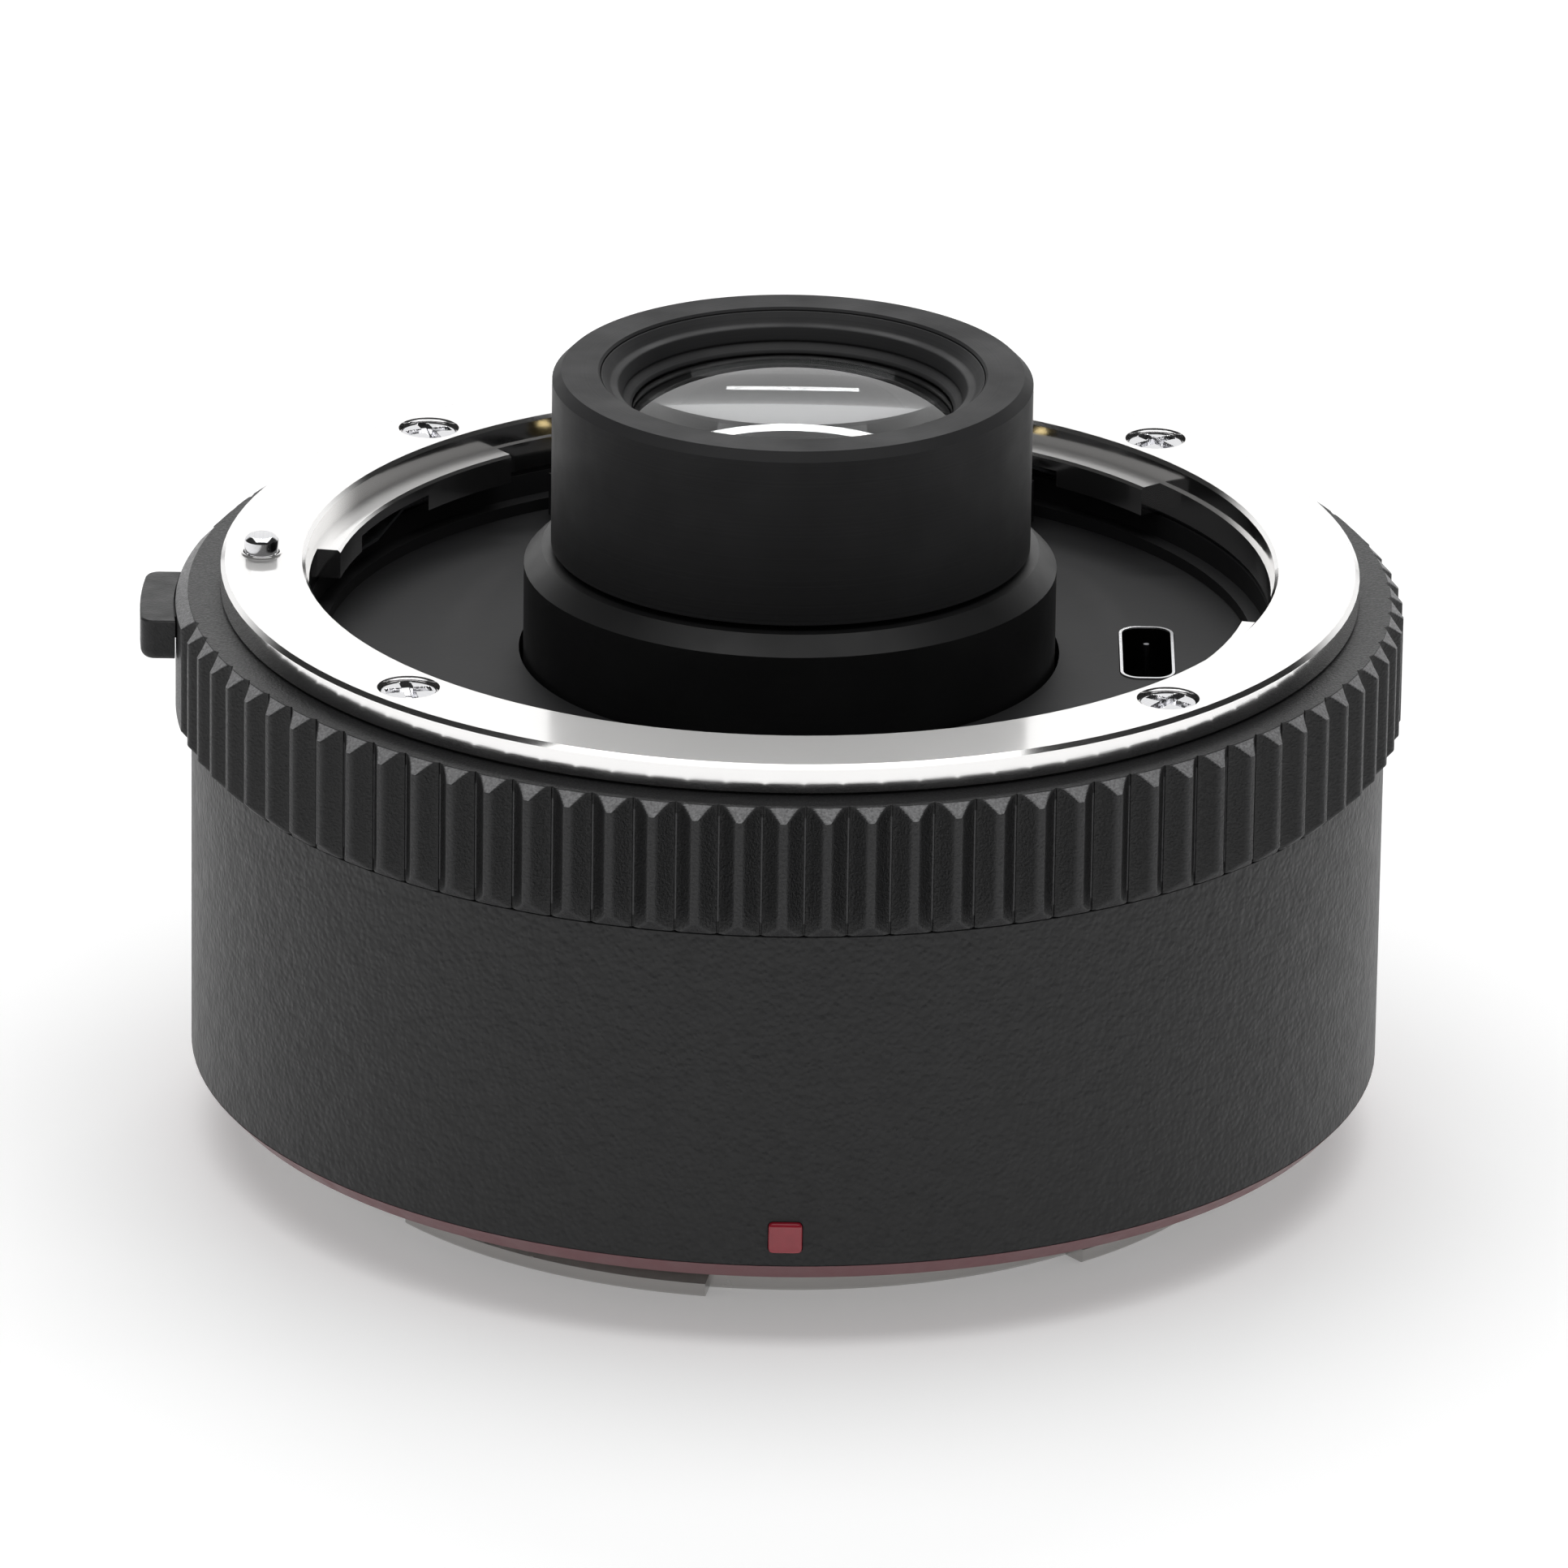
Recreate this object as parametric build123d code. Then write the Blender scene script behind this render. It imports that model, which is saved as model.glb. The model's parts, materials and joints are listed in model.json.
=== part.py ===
from build123d import *
import math
import os

# A two-times camera teleconverter, in millimetres. Z is the optical axis and points at the
# lens. Height zero is the flange face that meets the camera. Azimuth is counted from +X
# towards +Y. The index bead is at -90 degrees, the lock pin at 180, the contacts at 90.

# Fits and small clearances
overrun = 1.0               # how far a cutter passes the face that it cuts
glass_fit = 0.05            # radial play of a glass element in its cell
sleeve_fit = 0.05           # radial play of one fixed ring inside another
seat_gap = 0.02             # play where one fixed piece is clamped on another
cement_gap = 0.03           # layer of optical cement
running_fit = 0.06          # radial play of a pin that slides in its hole
slide_gap = 0.15            # play beside a block that slides
skin_gap = 0.12             # air between the release pad and the grip ring

# Mount to mount
mount_to_mount = 30.2       # camera-side face to lens-side face
throat_r = 27.5             # bore of the lens-side mount, 55 mm across
pilot_play = 0.1            # radial play of the male pilot in such a throat
pilot_height = 1.2
neck_step = 1.55            # from the pilot in to the neck
neck_wall = 2.25
neck_height = 3.85
male_lug_reach = 1.35       # from the neck out to the rim of a male lug
male_lug_height = 0.8
lug_count = 4
lug_span = 42.4             # degrees that one lug takes
lug_azimuth = 150.0         # middle of the first lug, degrees

# Camera-side flange
camera_flange_width = 3.6   # from the pilot out to the rim
camera_flange_height = 1.4
camera_screw_inset = 1.8    # from the rim in to the screws
camera_screw_head_r = 1.45

# Lens-side flange
lens_flange_width = 4.8     # from the throat out to the rim
flange_overhang = 0.7       # from the rim in to the edge of the flange's seat
lens_flange_height = 1.9
lens_flange_rim = 1.6       # height of the rim that shows
lens_flange_bevel = 0.24
throat_bevel = 0.2
lug_reach = 1.55            # from the throat in to the face of a lug
lug_depth = 1.3             # face to the top of a lug
lug_height = 1.7
lug_bevel = 0.15
lug_ledge = 0.2             # small step in the wall between the lugs
short_lug = 2               # number of the lug that is shorter, so a lens fits in one way only
short_lug_cut = 3.0         # degrees taken off its end
skirt_wall = 0.8
spring_recess_span = 17.4   # degrees of each lug that are undercut for its leaf spring
spring_recess_shift = 2.4   # degrees from the lug's middle to the undercut's middle
spring_recess_height = 0.95
lens_screw_inset = 2.5      # from the rim in to the screws
lens_screw_head_r = 1.6
lens_screw_hole_r = 1.75
lens_screw_sink = 0.15      # how far the head lies under the face

# Screws
screw_count = 4
screw_azimuth = 45.0
screw_shank_r = 0.75
screw_shank_length = 4.4
rear_screw_length = 3.1
screw_head_height = 0.95
cross_width = 0.42
cross_depth = 0.5
cross_margin = 0.35         # metal left between the cross and the rim of the head

# Leaf springs of the lens-side mount
leaf_thickness = 0.2
leaf_width = 1.0
leaf_air = 0.08             # play between a leaf and the undercut's roof

# Outer casing
body_wall = 1.75
body_bevel = 0.05
accent_lift = 0.05          # camera-side face to the accent ring
accent_height = 1.05
accent_slope = 0.95         # how far the ring tapers in to its foot
accent_air = 0.1            # accent ring to the camera-side flange
grip_height = 7.6
grip_wall = 1.85
grip_proud = 0.9            # how far the grip ring stands out of the casing
grip_gap = 0.1              # shadow line under the grip ring
grip_lip_height = 1.05
grip_lip_width = 1.3
grip_roof_gap = 0.15        # shadow line between the grip ring and the flange
groove_pitch = 4.0          # degrees between grooves
groove_depth = 0.85
groove_half_width = 1.02
groove_phase = -90.25       # azimuth of the land that faces the index bead
plain_zone_middle = 178.0   # smooth stretch of the grip ring behind the release pad
plain_zone_span = 24.0
shelf_width = 3.0           # of the shelf that carries the optical tube, under its flange
shelf_height = 2.0
shelf_drop = 8.05           # from the baffle plate down to the shelf
rear_wall_height = 2.0
rear_wall_air = 0.6         # round the rear baffle's flange
baffle_ledge_width = 1.55
baffle_ledge_height = 1.05

# Throat
baffle_depth = 5.35         # lens-side face to the top of the baffle plate
baffle_height = 1.0
baffle_hole_air = 0.25      # ring of air round the collar
foot_width = 0.9            # foot of the throat ring, on the baffle plate
foot_height = 0.7

# Slot in the baffle plate
slot_shift = 0.41           # from the middle of the plate's width in to the slot
slot_width = 3.1
slot_length = 8.3
slot_corner_r = 1.1
slot_wall = 0.16
slot_rim_rise = 0.08
slot_depth = 3.0
slot_floor = 0.4
slot_post_r = 0.16
slot_post_height = 2.3
slot_post_y = 2.1           # the post stands behind the middle of the slot

# Front lens barrel and collar
barrel_r = 13.6
barrel_rise = 11.33         # rim of the barrel above the lens-side face
barrel_bottom_rise = 1.15   # underside of the visible barrel above that face
barrel_bevel = 0.5
spigot_r = 12.6
mouth_step = 1.15           # from the rim of the front glass out to the mouth of the barrel
mouth_bevel = 0.12
lip_height = 1.1
lip_width = 0.9             # how far the lip under the triplet reaches in
collar_r = 15.12
collar_rise = 0.8           # top of the collar above the lens-side face
collar_bevel = 1.0
collar_gap = 0.12

# Front retaining ring
ring_sink = 0.6             # rim of the barrel to the top of the ring
ring_cone = 0.15            # how far the ring's inner wall widens to its top
ring_ledge = 0.55           # from the clear glass out to that wall
ring_wall_drop = 0.95
glass_sink = 2.18           # rim of the barrel to the edge of the visible glass
glass_cover = 0.7           # how far the ring covers the front glass

# Glass: half diameters, thicknesses and radii of curvature, front to back. A convex element
# is given by the thickness of its edge, any other by its thickness in the middle.
front_half = 9.75
triplet_step = 0.35         # in from the front elements
doublet_step = 1.6          # out from the triplet
field_step = 1.5            # out from the doublet
rear_step = 2.0             # out from the field element
edge_1 = 0.356
glass_2 = 1.1
glass_3 = 1.1
edge_4 = 0.773
glass_5 = 1.1
glass_6 = 1.1
edge_7 = 0.783
edge_8 = 0.836
glass_9 = 1.6
curve_1 = 28.0
curve_2 = -32.0
curve_3 = -60.0
curve_4 = 80.0
curve_5 = 14.0
curve_6 = -16.0
curve_7 = 30.0
curve_8 = -70.0
curve_9 = 18.0
curve_10 = -45.0
curve_11 = 55.0
curve_12 = -70.0
curve_13 = -45.0
curve_14 = -120.0

# Cells and spacers
spacer_1_height = 2.96
spacer_1_stop = 3.4         # how far its bore lies inside the triplet's rim
spacer_2_height = 3.3
spacer_3_height = 1.12
spacer_face = 0.8           # width of a spacer where it touches glass
cell_wall = 1.3
tube_lip_height = 0.3
tube_lip_width = 1.0
tube_flange_air = 3.2       # between the tube's flange and the casing
tube_flange_height = 2.0
tube_screw_inset = 1.5      # from the flange's rim in to its screws
tube_screw_head_r = 1.4
tube_screw_head_height = 1.2
rear_ring_height = 1.5
rear_ring_width = 1.5
rear_ring_notch = 1.2
mask_gap = 0.15

# Rear light baffle
rear_baffle_flange_width = 2.1      # outside the bore of the neck
rear_baffle_flange_height = 0.8
rear_baffle_wall = 1.2
rear_baffle_plate_height = 0.8
rear_baffle_sink = 1.25     # end of the neck to the baffle's plate
window_width = 29.0
window_height = 21.0
window_corner_r = 3.0
baffle_screw_step = 1.15    # from the bore of the neck out to the screws
baffle_screw_count = 3
baffle_screw_azimuth = 30.0
small_head_r = 0.8
small_head_height = 0.6
small_shank_r = 0.4
small_shank_length = 2.2

# Electrical contacts
contact_count = 11
contact_azimuth = 90.0
contact_pitch = 5.2         # degrees
contact_margin = 7.4        # degrees of block past the last contact
block_screw_step = 4.4      # degrees from the last contact to the screw
front_block_air = 0.35      # between the lugs' circle and the front block
front_block_width = 4.2
front_block_height = 2.55
front_block_floor = 0.1
pin_inset = 2.0             # from the front block's outer wall in to the pins
pin_r = 0.5
pin_collar_r = 0.72
pin_collar_height = 0.5
pin_travel = 0.6
pin_pressed_rise = 0.3      # tip above the block when the pin is pressed all the way
pin_spring_wall = 0.18
block_roof = 1.0
rear_block_air = 1.5        # between the bore of the neck and the rear block
rear_block_width = 3.2
rear_block_height = 1.0
pad_inset = 1.6             # from the rear block's outer wall in to the pads
pad_r = 0.68
pad_height = 0.3
pad_proud = 0.04

# Circuit board
board_air = 1.88            # between the optical tube and the board
board_rim_air = 1.9         # from the circle of the tube's screws in to the board
board_height = 0.8
standoff_height = 1.1
standoff_r = 1.4
standoff_inset = 2.1        # from the rim of the board in to its screws
standoff_count = 3
standoff_azimuth = 30.0
chip_side = 5.0
chip_height = 0.9
chip_shift = 0.3            # from the middle of the board's width in to the chips
chip_count = 4
chip_azimuth = -90.0
chip_step = 50.0
flex_thickness = 0.15
flex_width = 8.0
flex_lap = 2.2
flex_slot_air = 0.3
front_flex_step = 1.0       # from the pins' circle in to the front cable
rear_flex_step = 0.5        # from the pads' circle out to the rear cable

# Index bead
bead_width = 1.9
bead_height = 1.8
bead_middle = 2.85
bead_shift = 0.27           # off the middle of the casing, towards +X
bead_proud = 0.3
bead_root = 0.7
bead_corner_r = 0.3
bead_fit = 0.03

# Lens release
pin_hole_depth = 1.2        # blind hole in the camera-side flange for the camera's lock pin
lock_circle_step = 2.5      # from the throat out to the lock pin
lock_pin_r = 0.97
lock_pin_rise = 1.05
lock_pin_bevel = 0.25
release_travel = 1.25
pocket_inset = 1.05         # from the lock pin in to the pocket's wall
pocket_reach = 1.9          # from the lock pin out to the pocket's wall
carriage_height = 4.1
carriage_half_width = 4.3
stem_half_width = 2.2
stem_height = 1.25
stem_root = 0.6
pocket_roof = 1.25
pad_thickness = 1.9         # the pad's faces are curved about the axis
pad_half_width = 4.05
pad_top_drop = 2.74         # lens-side face to the top of the release pad
release_pad_height = 2.42
release_pad_corner_r = 0.8
release_pad_edge_r = 0.55   # lower edge
release_pad_bevel = 0.1     # upper edge
guide_rod_r = 0.5
guide_rod_y = 3.3
guide_rod_seat = 0.6
bracket_height = 0.85
bracket_half_width = 6.6
bracket_screw_y = 5.7
lock_spring_room = 2.53     # from the carriage down to the end of the thick wall
lock_spring_r = 1.5
lock_spring_wall = 0.35

# Levels and radii worked out from the sizes above
face_z = mount_to_mount
flange_seat_z = face_z - lens_flange_height
lug_top_z = face_z - lug_depth
lug_bottom_z = lug_top_z - lug_height
lug_inner_r = throat_r - lug_reach
gap_wall_r = throat_r - lug_ledge
skirt_r = throat_r + skirt_wall
lens_flange_r = throat_r + lens_flange_width
lens_screw_circle_r = lens_flange_r - lens_screw_inset
seat_r = lens_flange_r - flange_overhang
pilot_r = throat_r - pilot_play
neck_r = pilot_r - neck_step
neck_bore_r = neck_r - neck_wall
male_lug_r = neck_r + male_lug_reach
camera_flange_r = pilot_r + camera_flange_width
camera_screw_circle_r = camera_flange_r - camera_screw_inset
baffle_top_z = face_z - baffle_depth
baffle_bottom_z = baffle_top_z - baffle_height
body_bottom_z = accent_lift + accent_height
grip_top_z = face_z - lens_flange_rim - grip_roof_gap
grip_bottom_z = grip_top_z - grip_height
body_top_z = grip_bottom_z - grip_gap
lip_bottom_z = grip_top_z - grip_lip_height
lip_inner_r = seat_r + sleeve_fit
neck_outer_r = lip_inner_r + grip_lip_width
grip_r = neck_outer_r + sleeve_fit + grip_wall
body_r = grip_r - grip_proud
casing_bore_r = skirt_r + sleeve_fit
body_inner_r = body_r - body_wall
foot_r = gap_wall_r - foot_width
slot_x = (collar_r + foot_r) / 2 - slot_shift
baffle_ledge_r = casing_bore_r - baffle_ledge_width
tube_flange_r = body_inner_r - tube_flange_air
tube_screw_circle_r = tube_flange_r - tube_screw_inset
shelf_inner_r = tube_flange_r - shelf_width
shelf_top = baffle_bottom_z - shelf_drop
rear_baffle_flange_r = neck_bore_r + rear_baffle_flange_width
baffle_screw_circle_r = neck_bore_r + baffle_screw_step
rear_wall_bore_r = rear_baffle_flange_r + rear_wall_air
front_block_outer_r = lug_inner_r - front_block_air
front_block_inner_r = front_block_outer_r - front_block_width
pin_circle_r = front_block_outer_r - pin_inset
rear_block_outer_r = neck_bore_r - rear_block_air
rear_block_inner_r = rear_block_outer_r - rear_block_width
pad_circle_r = rear_block_outer_r - pad_inset
board_inner_r = collar_r + board_air
board_outer_r = tube_screw_circle_r - board_rim_air
standoff_circle_r = board_outer_r - standoff_inset
chip_circle_r = (board_inner_r + board_outer_r) / 2 - chip_shift
front_flex_y = pin_circle_r - front_flex_step
rear_flex_y = pad_circle_r + rear_flex_step
lock_circle_r = throat_r + lock_circle_step
pocket_inner_r = lock_circle_r - pocket_inset
pocket_outer_x = lock_circle_r + pocket_reach
pad_outer_r = grip_r + skin_gap + pad_thickness
mouth_r = front_half + mouth_step
glass_clear_r = front_half - glass_cover
ring_wall_r = glass_clear_r + ring_ledge
ring_top_r = ring_wall_r + ring_cone
triplet_half = front_half - triplet_step
lip_r = triplet_half - lip_width
doublet_half = triplet_half + doublet_step
tube_lip_r = doublet_half - tube_lip_width
field_half = doublet_half + field_step
rear_half = field_half + rear_step
rear_ring_r = rear_half - rear_ring_width
leaf_ring_top_z = lug_bottom_z - leaf_air
leaf_ring_bottom_z = leaf_ring_top_z - leaf_thickness
shelf_bottom_z = shelf_top - shelf_height
rear_wall_top_z = camera_flange_height + rear_wall_height
barrel_top_z = face_z + barrel_rise
barrel_bottom_z = face_z + barrel_bottom_rise
collar_top_z = face_z + collar_rise
contact_span = (contact_count - 1) * contact_pitch
block_span = contact_span + contact_margin + contact_margin
front_block_top_z = baffle_top_z + front_block_height
block_cavity_top_z = front_block_top_z - block_roof
board_bottom_z = shelf_top + tube_flange_height + standoff_height
board_top_z = board_bottom_z + board_height
rear_plate_bottom_z = rear_baffle_sink - neck_height
rear_plate_top_z = rear_plate_bottom_z + rear_baffle_plate_height
pad_top_z = face_z - pad_top_drop
pocket_top_z = flange_seat_z - pocket_roof
carriage_top_z = pocket_top_z - seat_gap
carriage_bottom_z = carriage_top_z - carriage_height
thick_wall_bottom = carriage_bottom_z - lock_spring_room
stem_bottom_z = carriage_top_z - stem_height
pin_collar_bottom_z = block_cavity_top_z - pin_collar_height - seat_gap
STANDING = (Align.CENTER, Align.CENTER, Align.MIN)


def rod(radius, bottom, top, x=0, y=0):
    """An upright cylinder."""
    return Pos(x, y, bottom) * Cylinder(radius, top - bottom, align=STANDING)


def tube(outer, inner, bottom, top):
    """An upright ring with a plain bore."""
    return rod(outer, bottom, top) - rod(inner, bottom - overrun, top + overrun)


def brick(x_low, x_high, y_low, y_high, z_low, z_high):
    """A block between two corners."""
    size = (x_high - x_low, y_high - y_low, z_high - z_low)
    middle = ((x_high + x_low) / 2, (y_high + y_low) / 2, (z_high + z_low) / 2)
    return Pos(*middle) * Box(*size)


def turned(points, span=360.0, middle=180.0):
    """A solid turned about the axis from its corners, each a radius and a height."""
    outline = Polyline(*[(radius, 0, height) for radius, height in points], close=True)
    piece = revolve(make_face(outline), Axis.Z, revolution_arc=span)
    return Rot(0, 0, middle - span / 2) * piece


def sector(outer, inner, bottom, top, middle, span):
    """A stretch of a plain ring."""
    corners = [(inner, bottom), (outer, bottom), (outer, top), (inner, top)]
    return turned(corners, span, middle)


def around(count, start, step):
    """The azimuths of equally spaced copies."""
    return [start + step * index for index in range(count)]


def at(radius, azimuth):
    """The x and y of a place given by radius and azimuth."""
    angle = math.radians(azimuth)
    return radius * math.cos(angle), radius * math.sin(angle)


def sag(curve, radius):
    """How far a glass surface has dropped at a radius; it is negative where the rim rises."""
    drop = abs(curve) - math.sqrt(curve * curve - radius * radius)
    return math.copysign(drop, curve)


def lowest(vertex, curve, inner, outer):
    """The lowest level of a rear glass face between two radii, where a ring below it touches."""
    return vertex - max(sag(curve, inner), sag(curve, outer))


def rise_to_vertex(curve, inner, outer):
    """From the highest level of a front glass face between two radii up to its vertex."""
    return min(sag(curve, inner), sag(curve, outer))


def glass(front_z, front_curve, back_z, back_curve, half):
    """One element, between two spherical faces, with a ground edge."""
    def face(vertex, curve):
        places = [(share * half, 0, vertex - sag(curve, share * half)) for share in (0, 0.5, 1)]
        return ThreePointArc(*places)
    front = face(front_z, front_curve)
    back = face(back_z, back_curve)
    axis = Line(front @ 0, back @ 0)
    edge = Line(front @ 1, back @ 1)
    return revolve(make_face([front, back, axis, edge]), Axis.Z)


def lug_azimuths():
    """The middles of the bayonet lugs, male and female alike."""
    return around(lug_count, lug_azimuth, 360 / lug_count)


def contact_azimuths():
    """The azimuths of the electrical contacts."""
    return around(contact_count, contact_azimuth - contact_span / 2, contact_pitch)


def countersunk(head_r, bottom, top):
    """A countersunk cross-head screw that stands with its head at the top."""
    cone_z = top - screw_head_height
    rim_z = top - screw_head_height / 4
    corners = [(0, bottom), (screw_shank_r, bottom), (screw_shank_r, cone_z),
               (head_r, rim_z), (head_r, top), (0, top)]
    screw = turned(corners)
    reach = head_r - cross_margin
    for width, length in ((cross_width / 2, reach), (reach, cross_width / 2)):
        screw -= brick(-width, width, -length, length, top - cross_depth, top + overrun)
    return screw


def screw_hole(hole_r, face, sink, bottom):
    """The cutter for a countersunk hole under a face."""
    cone_z = face - sink - screw_head_height - sleeve_fit
    rim_z = face - sink - screw_head_height / 4
    shank_r = screw_shank_r + sleeve_fit
    corners = [(0, bottom), (shank_r, bottom), (shank_r, cone_z),
               (hole_r, rim_z), (hole_r, face + overrun), (0, face + overrun)]
    return turned(corners)


def pan_screw(head_r, head_height, shank_r, seat, length):
    """A flat-topped screw with a slot, standing on a seat."""
    screw = rod(shank_r, seat - length, seat) + rod(head_r, seat, seat + head_height)
    slot = head_height / 2
    return screw - brick(-head_r, head_r, -slot / 2, slot / 2, seat + slot, seat + head_height + overrun)


def release_window(depth_in, depth_out, air):
    """The cutter for the way that the release stem travels through a wall."""
    low = stem_bottom_z - release_travel - air
    side = stem_half_width + air
    return brick(-depth_out, -depth_in, -side, side, low, carriage_top_z + air)


def bead_block(air):
    """The index bead, or its seat when it is given some air."""
    width = bead_width + air + air
    height = bead_height + air + air
    outline = RectangleRounded(width, height, bead_corner_r)
    depth = bead_root + bead_proud
    block = Plane.XZ * extrude(outline, depth)
    return Pos(bead_shift, bead_root - body_r, bead_middle) * block


# Casing
def make_main_barrel():
    corners = [
        (body_r - body_bevel, body_bottom_z), (body_r, body_bottom_z + body_bevel),
        (body_r, body_top_z - body_bevel), (body_r - body_bevel, body_top_z),
        (neck_outer_r, body_top_z), (neck_outer_r, lip_bottom_z - grip_gap),
        (seat_r, lip_bottom_z - grip_gap), (seat_r, flange_seat_z),
        (casing_bore_r, flange_seat_z), (casing_bore_r, baffle_bottom_z),
        (baffle_ledge_r, baffle_bottom_z), (baffle_ledge_r, baffle_bottom_z - baffle_ledge_height),
        (casing_bore_r, baffle_bottom_z - baffle_ledge_height), (casing_bore_r, thick_wall_bottom),
        (body_inner_r, thick_wall_bottom), (body_inner_r, shelf_top),
        (shelf_inner_r, shelf_top), (shelf_inner_r, shelf_bottom_z),
        (body_inner_r, shelf_bottom_z), (body_inner_r, rear_wall_top_z),
        (rear_wall_bore_r, rear_wall_top_z), (rear_wall_bore_r, camera_flange_height),
        (camera_flange_r + sleeve_fit, camera_flange_height),
        (camera_flange_r + sleeve_fit, body_bottom_z)]
    shell = turned(corners)
    shell -= bead_block(bead_fit)
    for azimuth in around(screw_count, screw_azimuth, 360 / screw_count):
        x, y = at(lens_screw_circle_r, azimuth)
        end = flange_seat_z - screw_shank_length
        shell -= rod(screw_shank_r + sleeve_fit, end, flange_seat_z + overrun, x, y)
        x, y = at(camera_screw_circle_r, azimuth)
        shell -= rod(screw_shank_r + sleeve_fit, 0, rear_wall_top_z + overrun, x, y)
        x, y = at(tube_screw_circle_r, azimuth)
        shell -= rod(screw_shank_r + sleeve_fit, shelf_bottom_z - overrun, shelf_top + overrun, x, y)
    side = carriage_half_width + slide_gap
    shell -= brick(-pocket_outer_x, -pocket_inner_r, -side, side, thick_wall_bottom - overrun, pocket_top_z)
    shell -= release_window(pocket_outer_x - overrun, grip_r + overrun, slide_gap)
    shell -= rod(lock_pin_r + running_fit, pocket_top_z - overrun, face_z, -lock_circle_r, 0)
    for y in (-guide_rod_y, guide_rod_y):
        top = pocket_top_z + guide_rod_seat + seat_gap
        shell -= rod(guide_rod_r + seat_gap, pocket_top_z - overrun, top, -lock_circle_r, y)
    for y in (-bracket_screw_y, bracket_screw_y):
        top = thick_wall_bottom + small_shank_length
        shell -= rod(small_shank_r + seat_gap, thick_wall_bottom - overrun, top, -lock_circle_r, y)
    return shell


def make_accent_ring():
    inner = camera_flange_r + accent_air
    return turned([(inner, accent_lift), (body_r - accent_slope, accent_lift), (body_r, body_bottom_z),
                   (inner, body_bottom_z)])


def make_index_bead():
    bead = bead_block(0)
    return fillet(bead.faces().sort_by(Axis.Y)[0].edges(), bead_proud / 2)


def groove_cutter():
    """One vertical groove of the grip ring, pointed at both ends, at azimuth zero."""
    low = grip_bottom_z - overrun
    high = grip_top_z + overrun
    root = grip_r - groove_depth
    outline = Polyline((root, 0), (grip_r, groove_half_width), (grip_r + overrun, groove_half_width),
                       (grip_r + overrun, -groove_half_width), (grip_r, -groove_half_width), close=True)
    return Pos(0, 0, low) * extrude(make_face(outline), high - low)


def make_grip_ring():
    inner = grip_r - grip_wall
    bevel = groove_depth / 2
    corners = [
        (inner, grip_bottom_z), (grip_r - bevel, grip_bottom_z), (grip_r, grip_bottom_z + bevel),
        (grip_r, grip_top_z - bevel), (grip_r - bevel, grip_top_z), (lip_inner_r, grip_top_z),
        (lip_inner_r, lip_bottom_z), (inner, lip_bottom_z)]
    ring = turned(corners)
    cutter = groove_cutter()
    cutters = []
    for azimuth in around(round(360 / groove_pitch), groove_phase + groove_pitch / 2, groove_pitch):
        off = (azimuth - plain_zone_middle + 180) % 360 - 180
        if abs(off) > plain_zone_span / 2:
            cutters.append(Rot(0, 0, azimuth) * cutter)
    ring = ring - cutters
    return ring - release_window(inner - grip_lip_width, grip_r + overrun, slide_gap)


# Lens-side mount
def make_lens_side_mount():
    corners = [
        (throat_r + throat_bevel, face_z), (lens_flange_r - lens_flange_bevel, face_z),
        (lens_flange_r, face_z - lens_flange_bevel), (lens_flange_r, face_z - lens_flange_rim),
        (seat_r, face_z - lens_flange_rim), (seat_r, flange_seat_z), (skirt_r, flange_seat_z),
        (skirt_r, lug_bottom_z), (gap_wall_r, lug_bottom_z), (gap_wall_r, lug_top_z),
        (throat_r, lug_top_z), (throat_r, face_z - throat_bevel)]
    mount = turned(corners)
    lug = [
        (lug_inner_r, lug_bottom_z), (gap_wall_r + throat_bevel, lug_bottom_z),
        (gap_wall_r + throat_bevel, lug_top_z), (lug_inner_r + lug_bevel, lug_top_z),
        (lug_inner_r, lug_top_z - lug_bevel)]
    for azimuth in lug_azimuths():
        mount += turned(lug, lug_span, azimuth)
        mount -= sector(gap_wall_r, lug_inner_r - overrun, lug_bottom_z - overrun,
                        lug_bottom_z + spring_recess_height, azimuth + spring_recess_shift,
                        spring_recess_span)
    end = lug_azimuths()[short_lug] + (lug_span - short_lug_cut) / 2
    mount -= sector(gap_wall_r, lug_inner_r - overrun, lug_bottom_z - overrun, lug_top_z + overrun,
                    end, short_lug_cut)
    cutter = screw_hole(lens_screw_hole_r, face_z, lens_screw_sink, flange_seat_z - overrun)
    for azimuth in around(screw_count, screw_azimuth, 360 / screw_count):
        x, y = at(lens_screw_circle_r, azimuth)
        mount -= Pos(x, y, 0) * cutter
    return mount - rod(lock_pin_r + running_fit, flange_seat_z - overrun, face_z + overrun,
                       -lock_circle_r, 0)


def make_lens_mount_screws():
    top = face_z - lens_screw_sink
    bottom = flange_seat_z - screw_shank_length + seat_gap
    screw = countersunk(lens_screw_head_r, bottom, top)
    group = []
    for index, azimuth in enumerate(around(screw_count, screw_azimuth, 360 / screw_count)):
        x, y = at(lens_screw_circle_r, azimuth)
        group.append(Pos(x, y, 0) * Rot(0, 0, azimuth * (index + 1)) * screw)
    return Compound(group)


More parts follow.
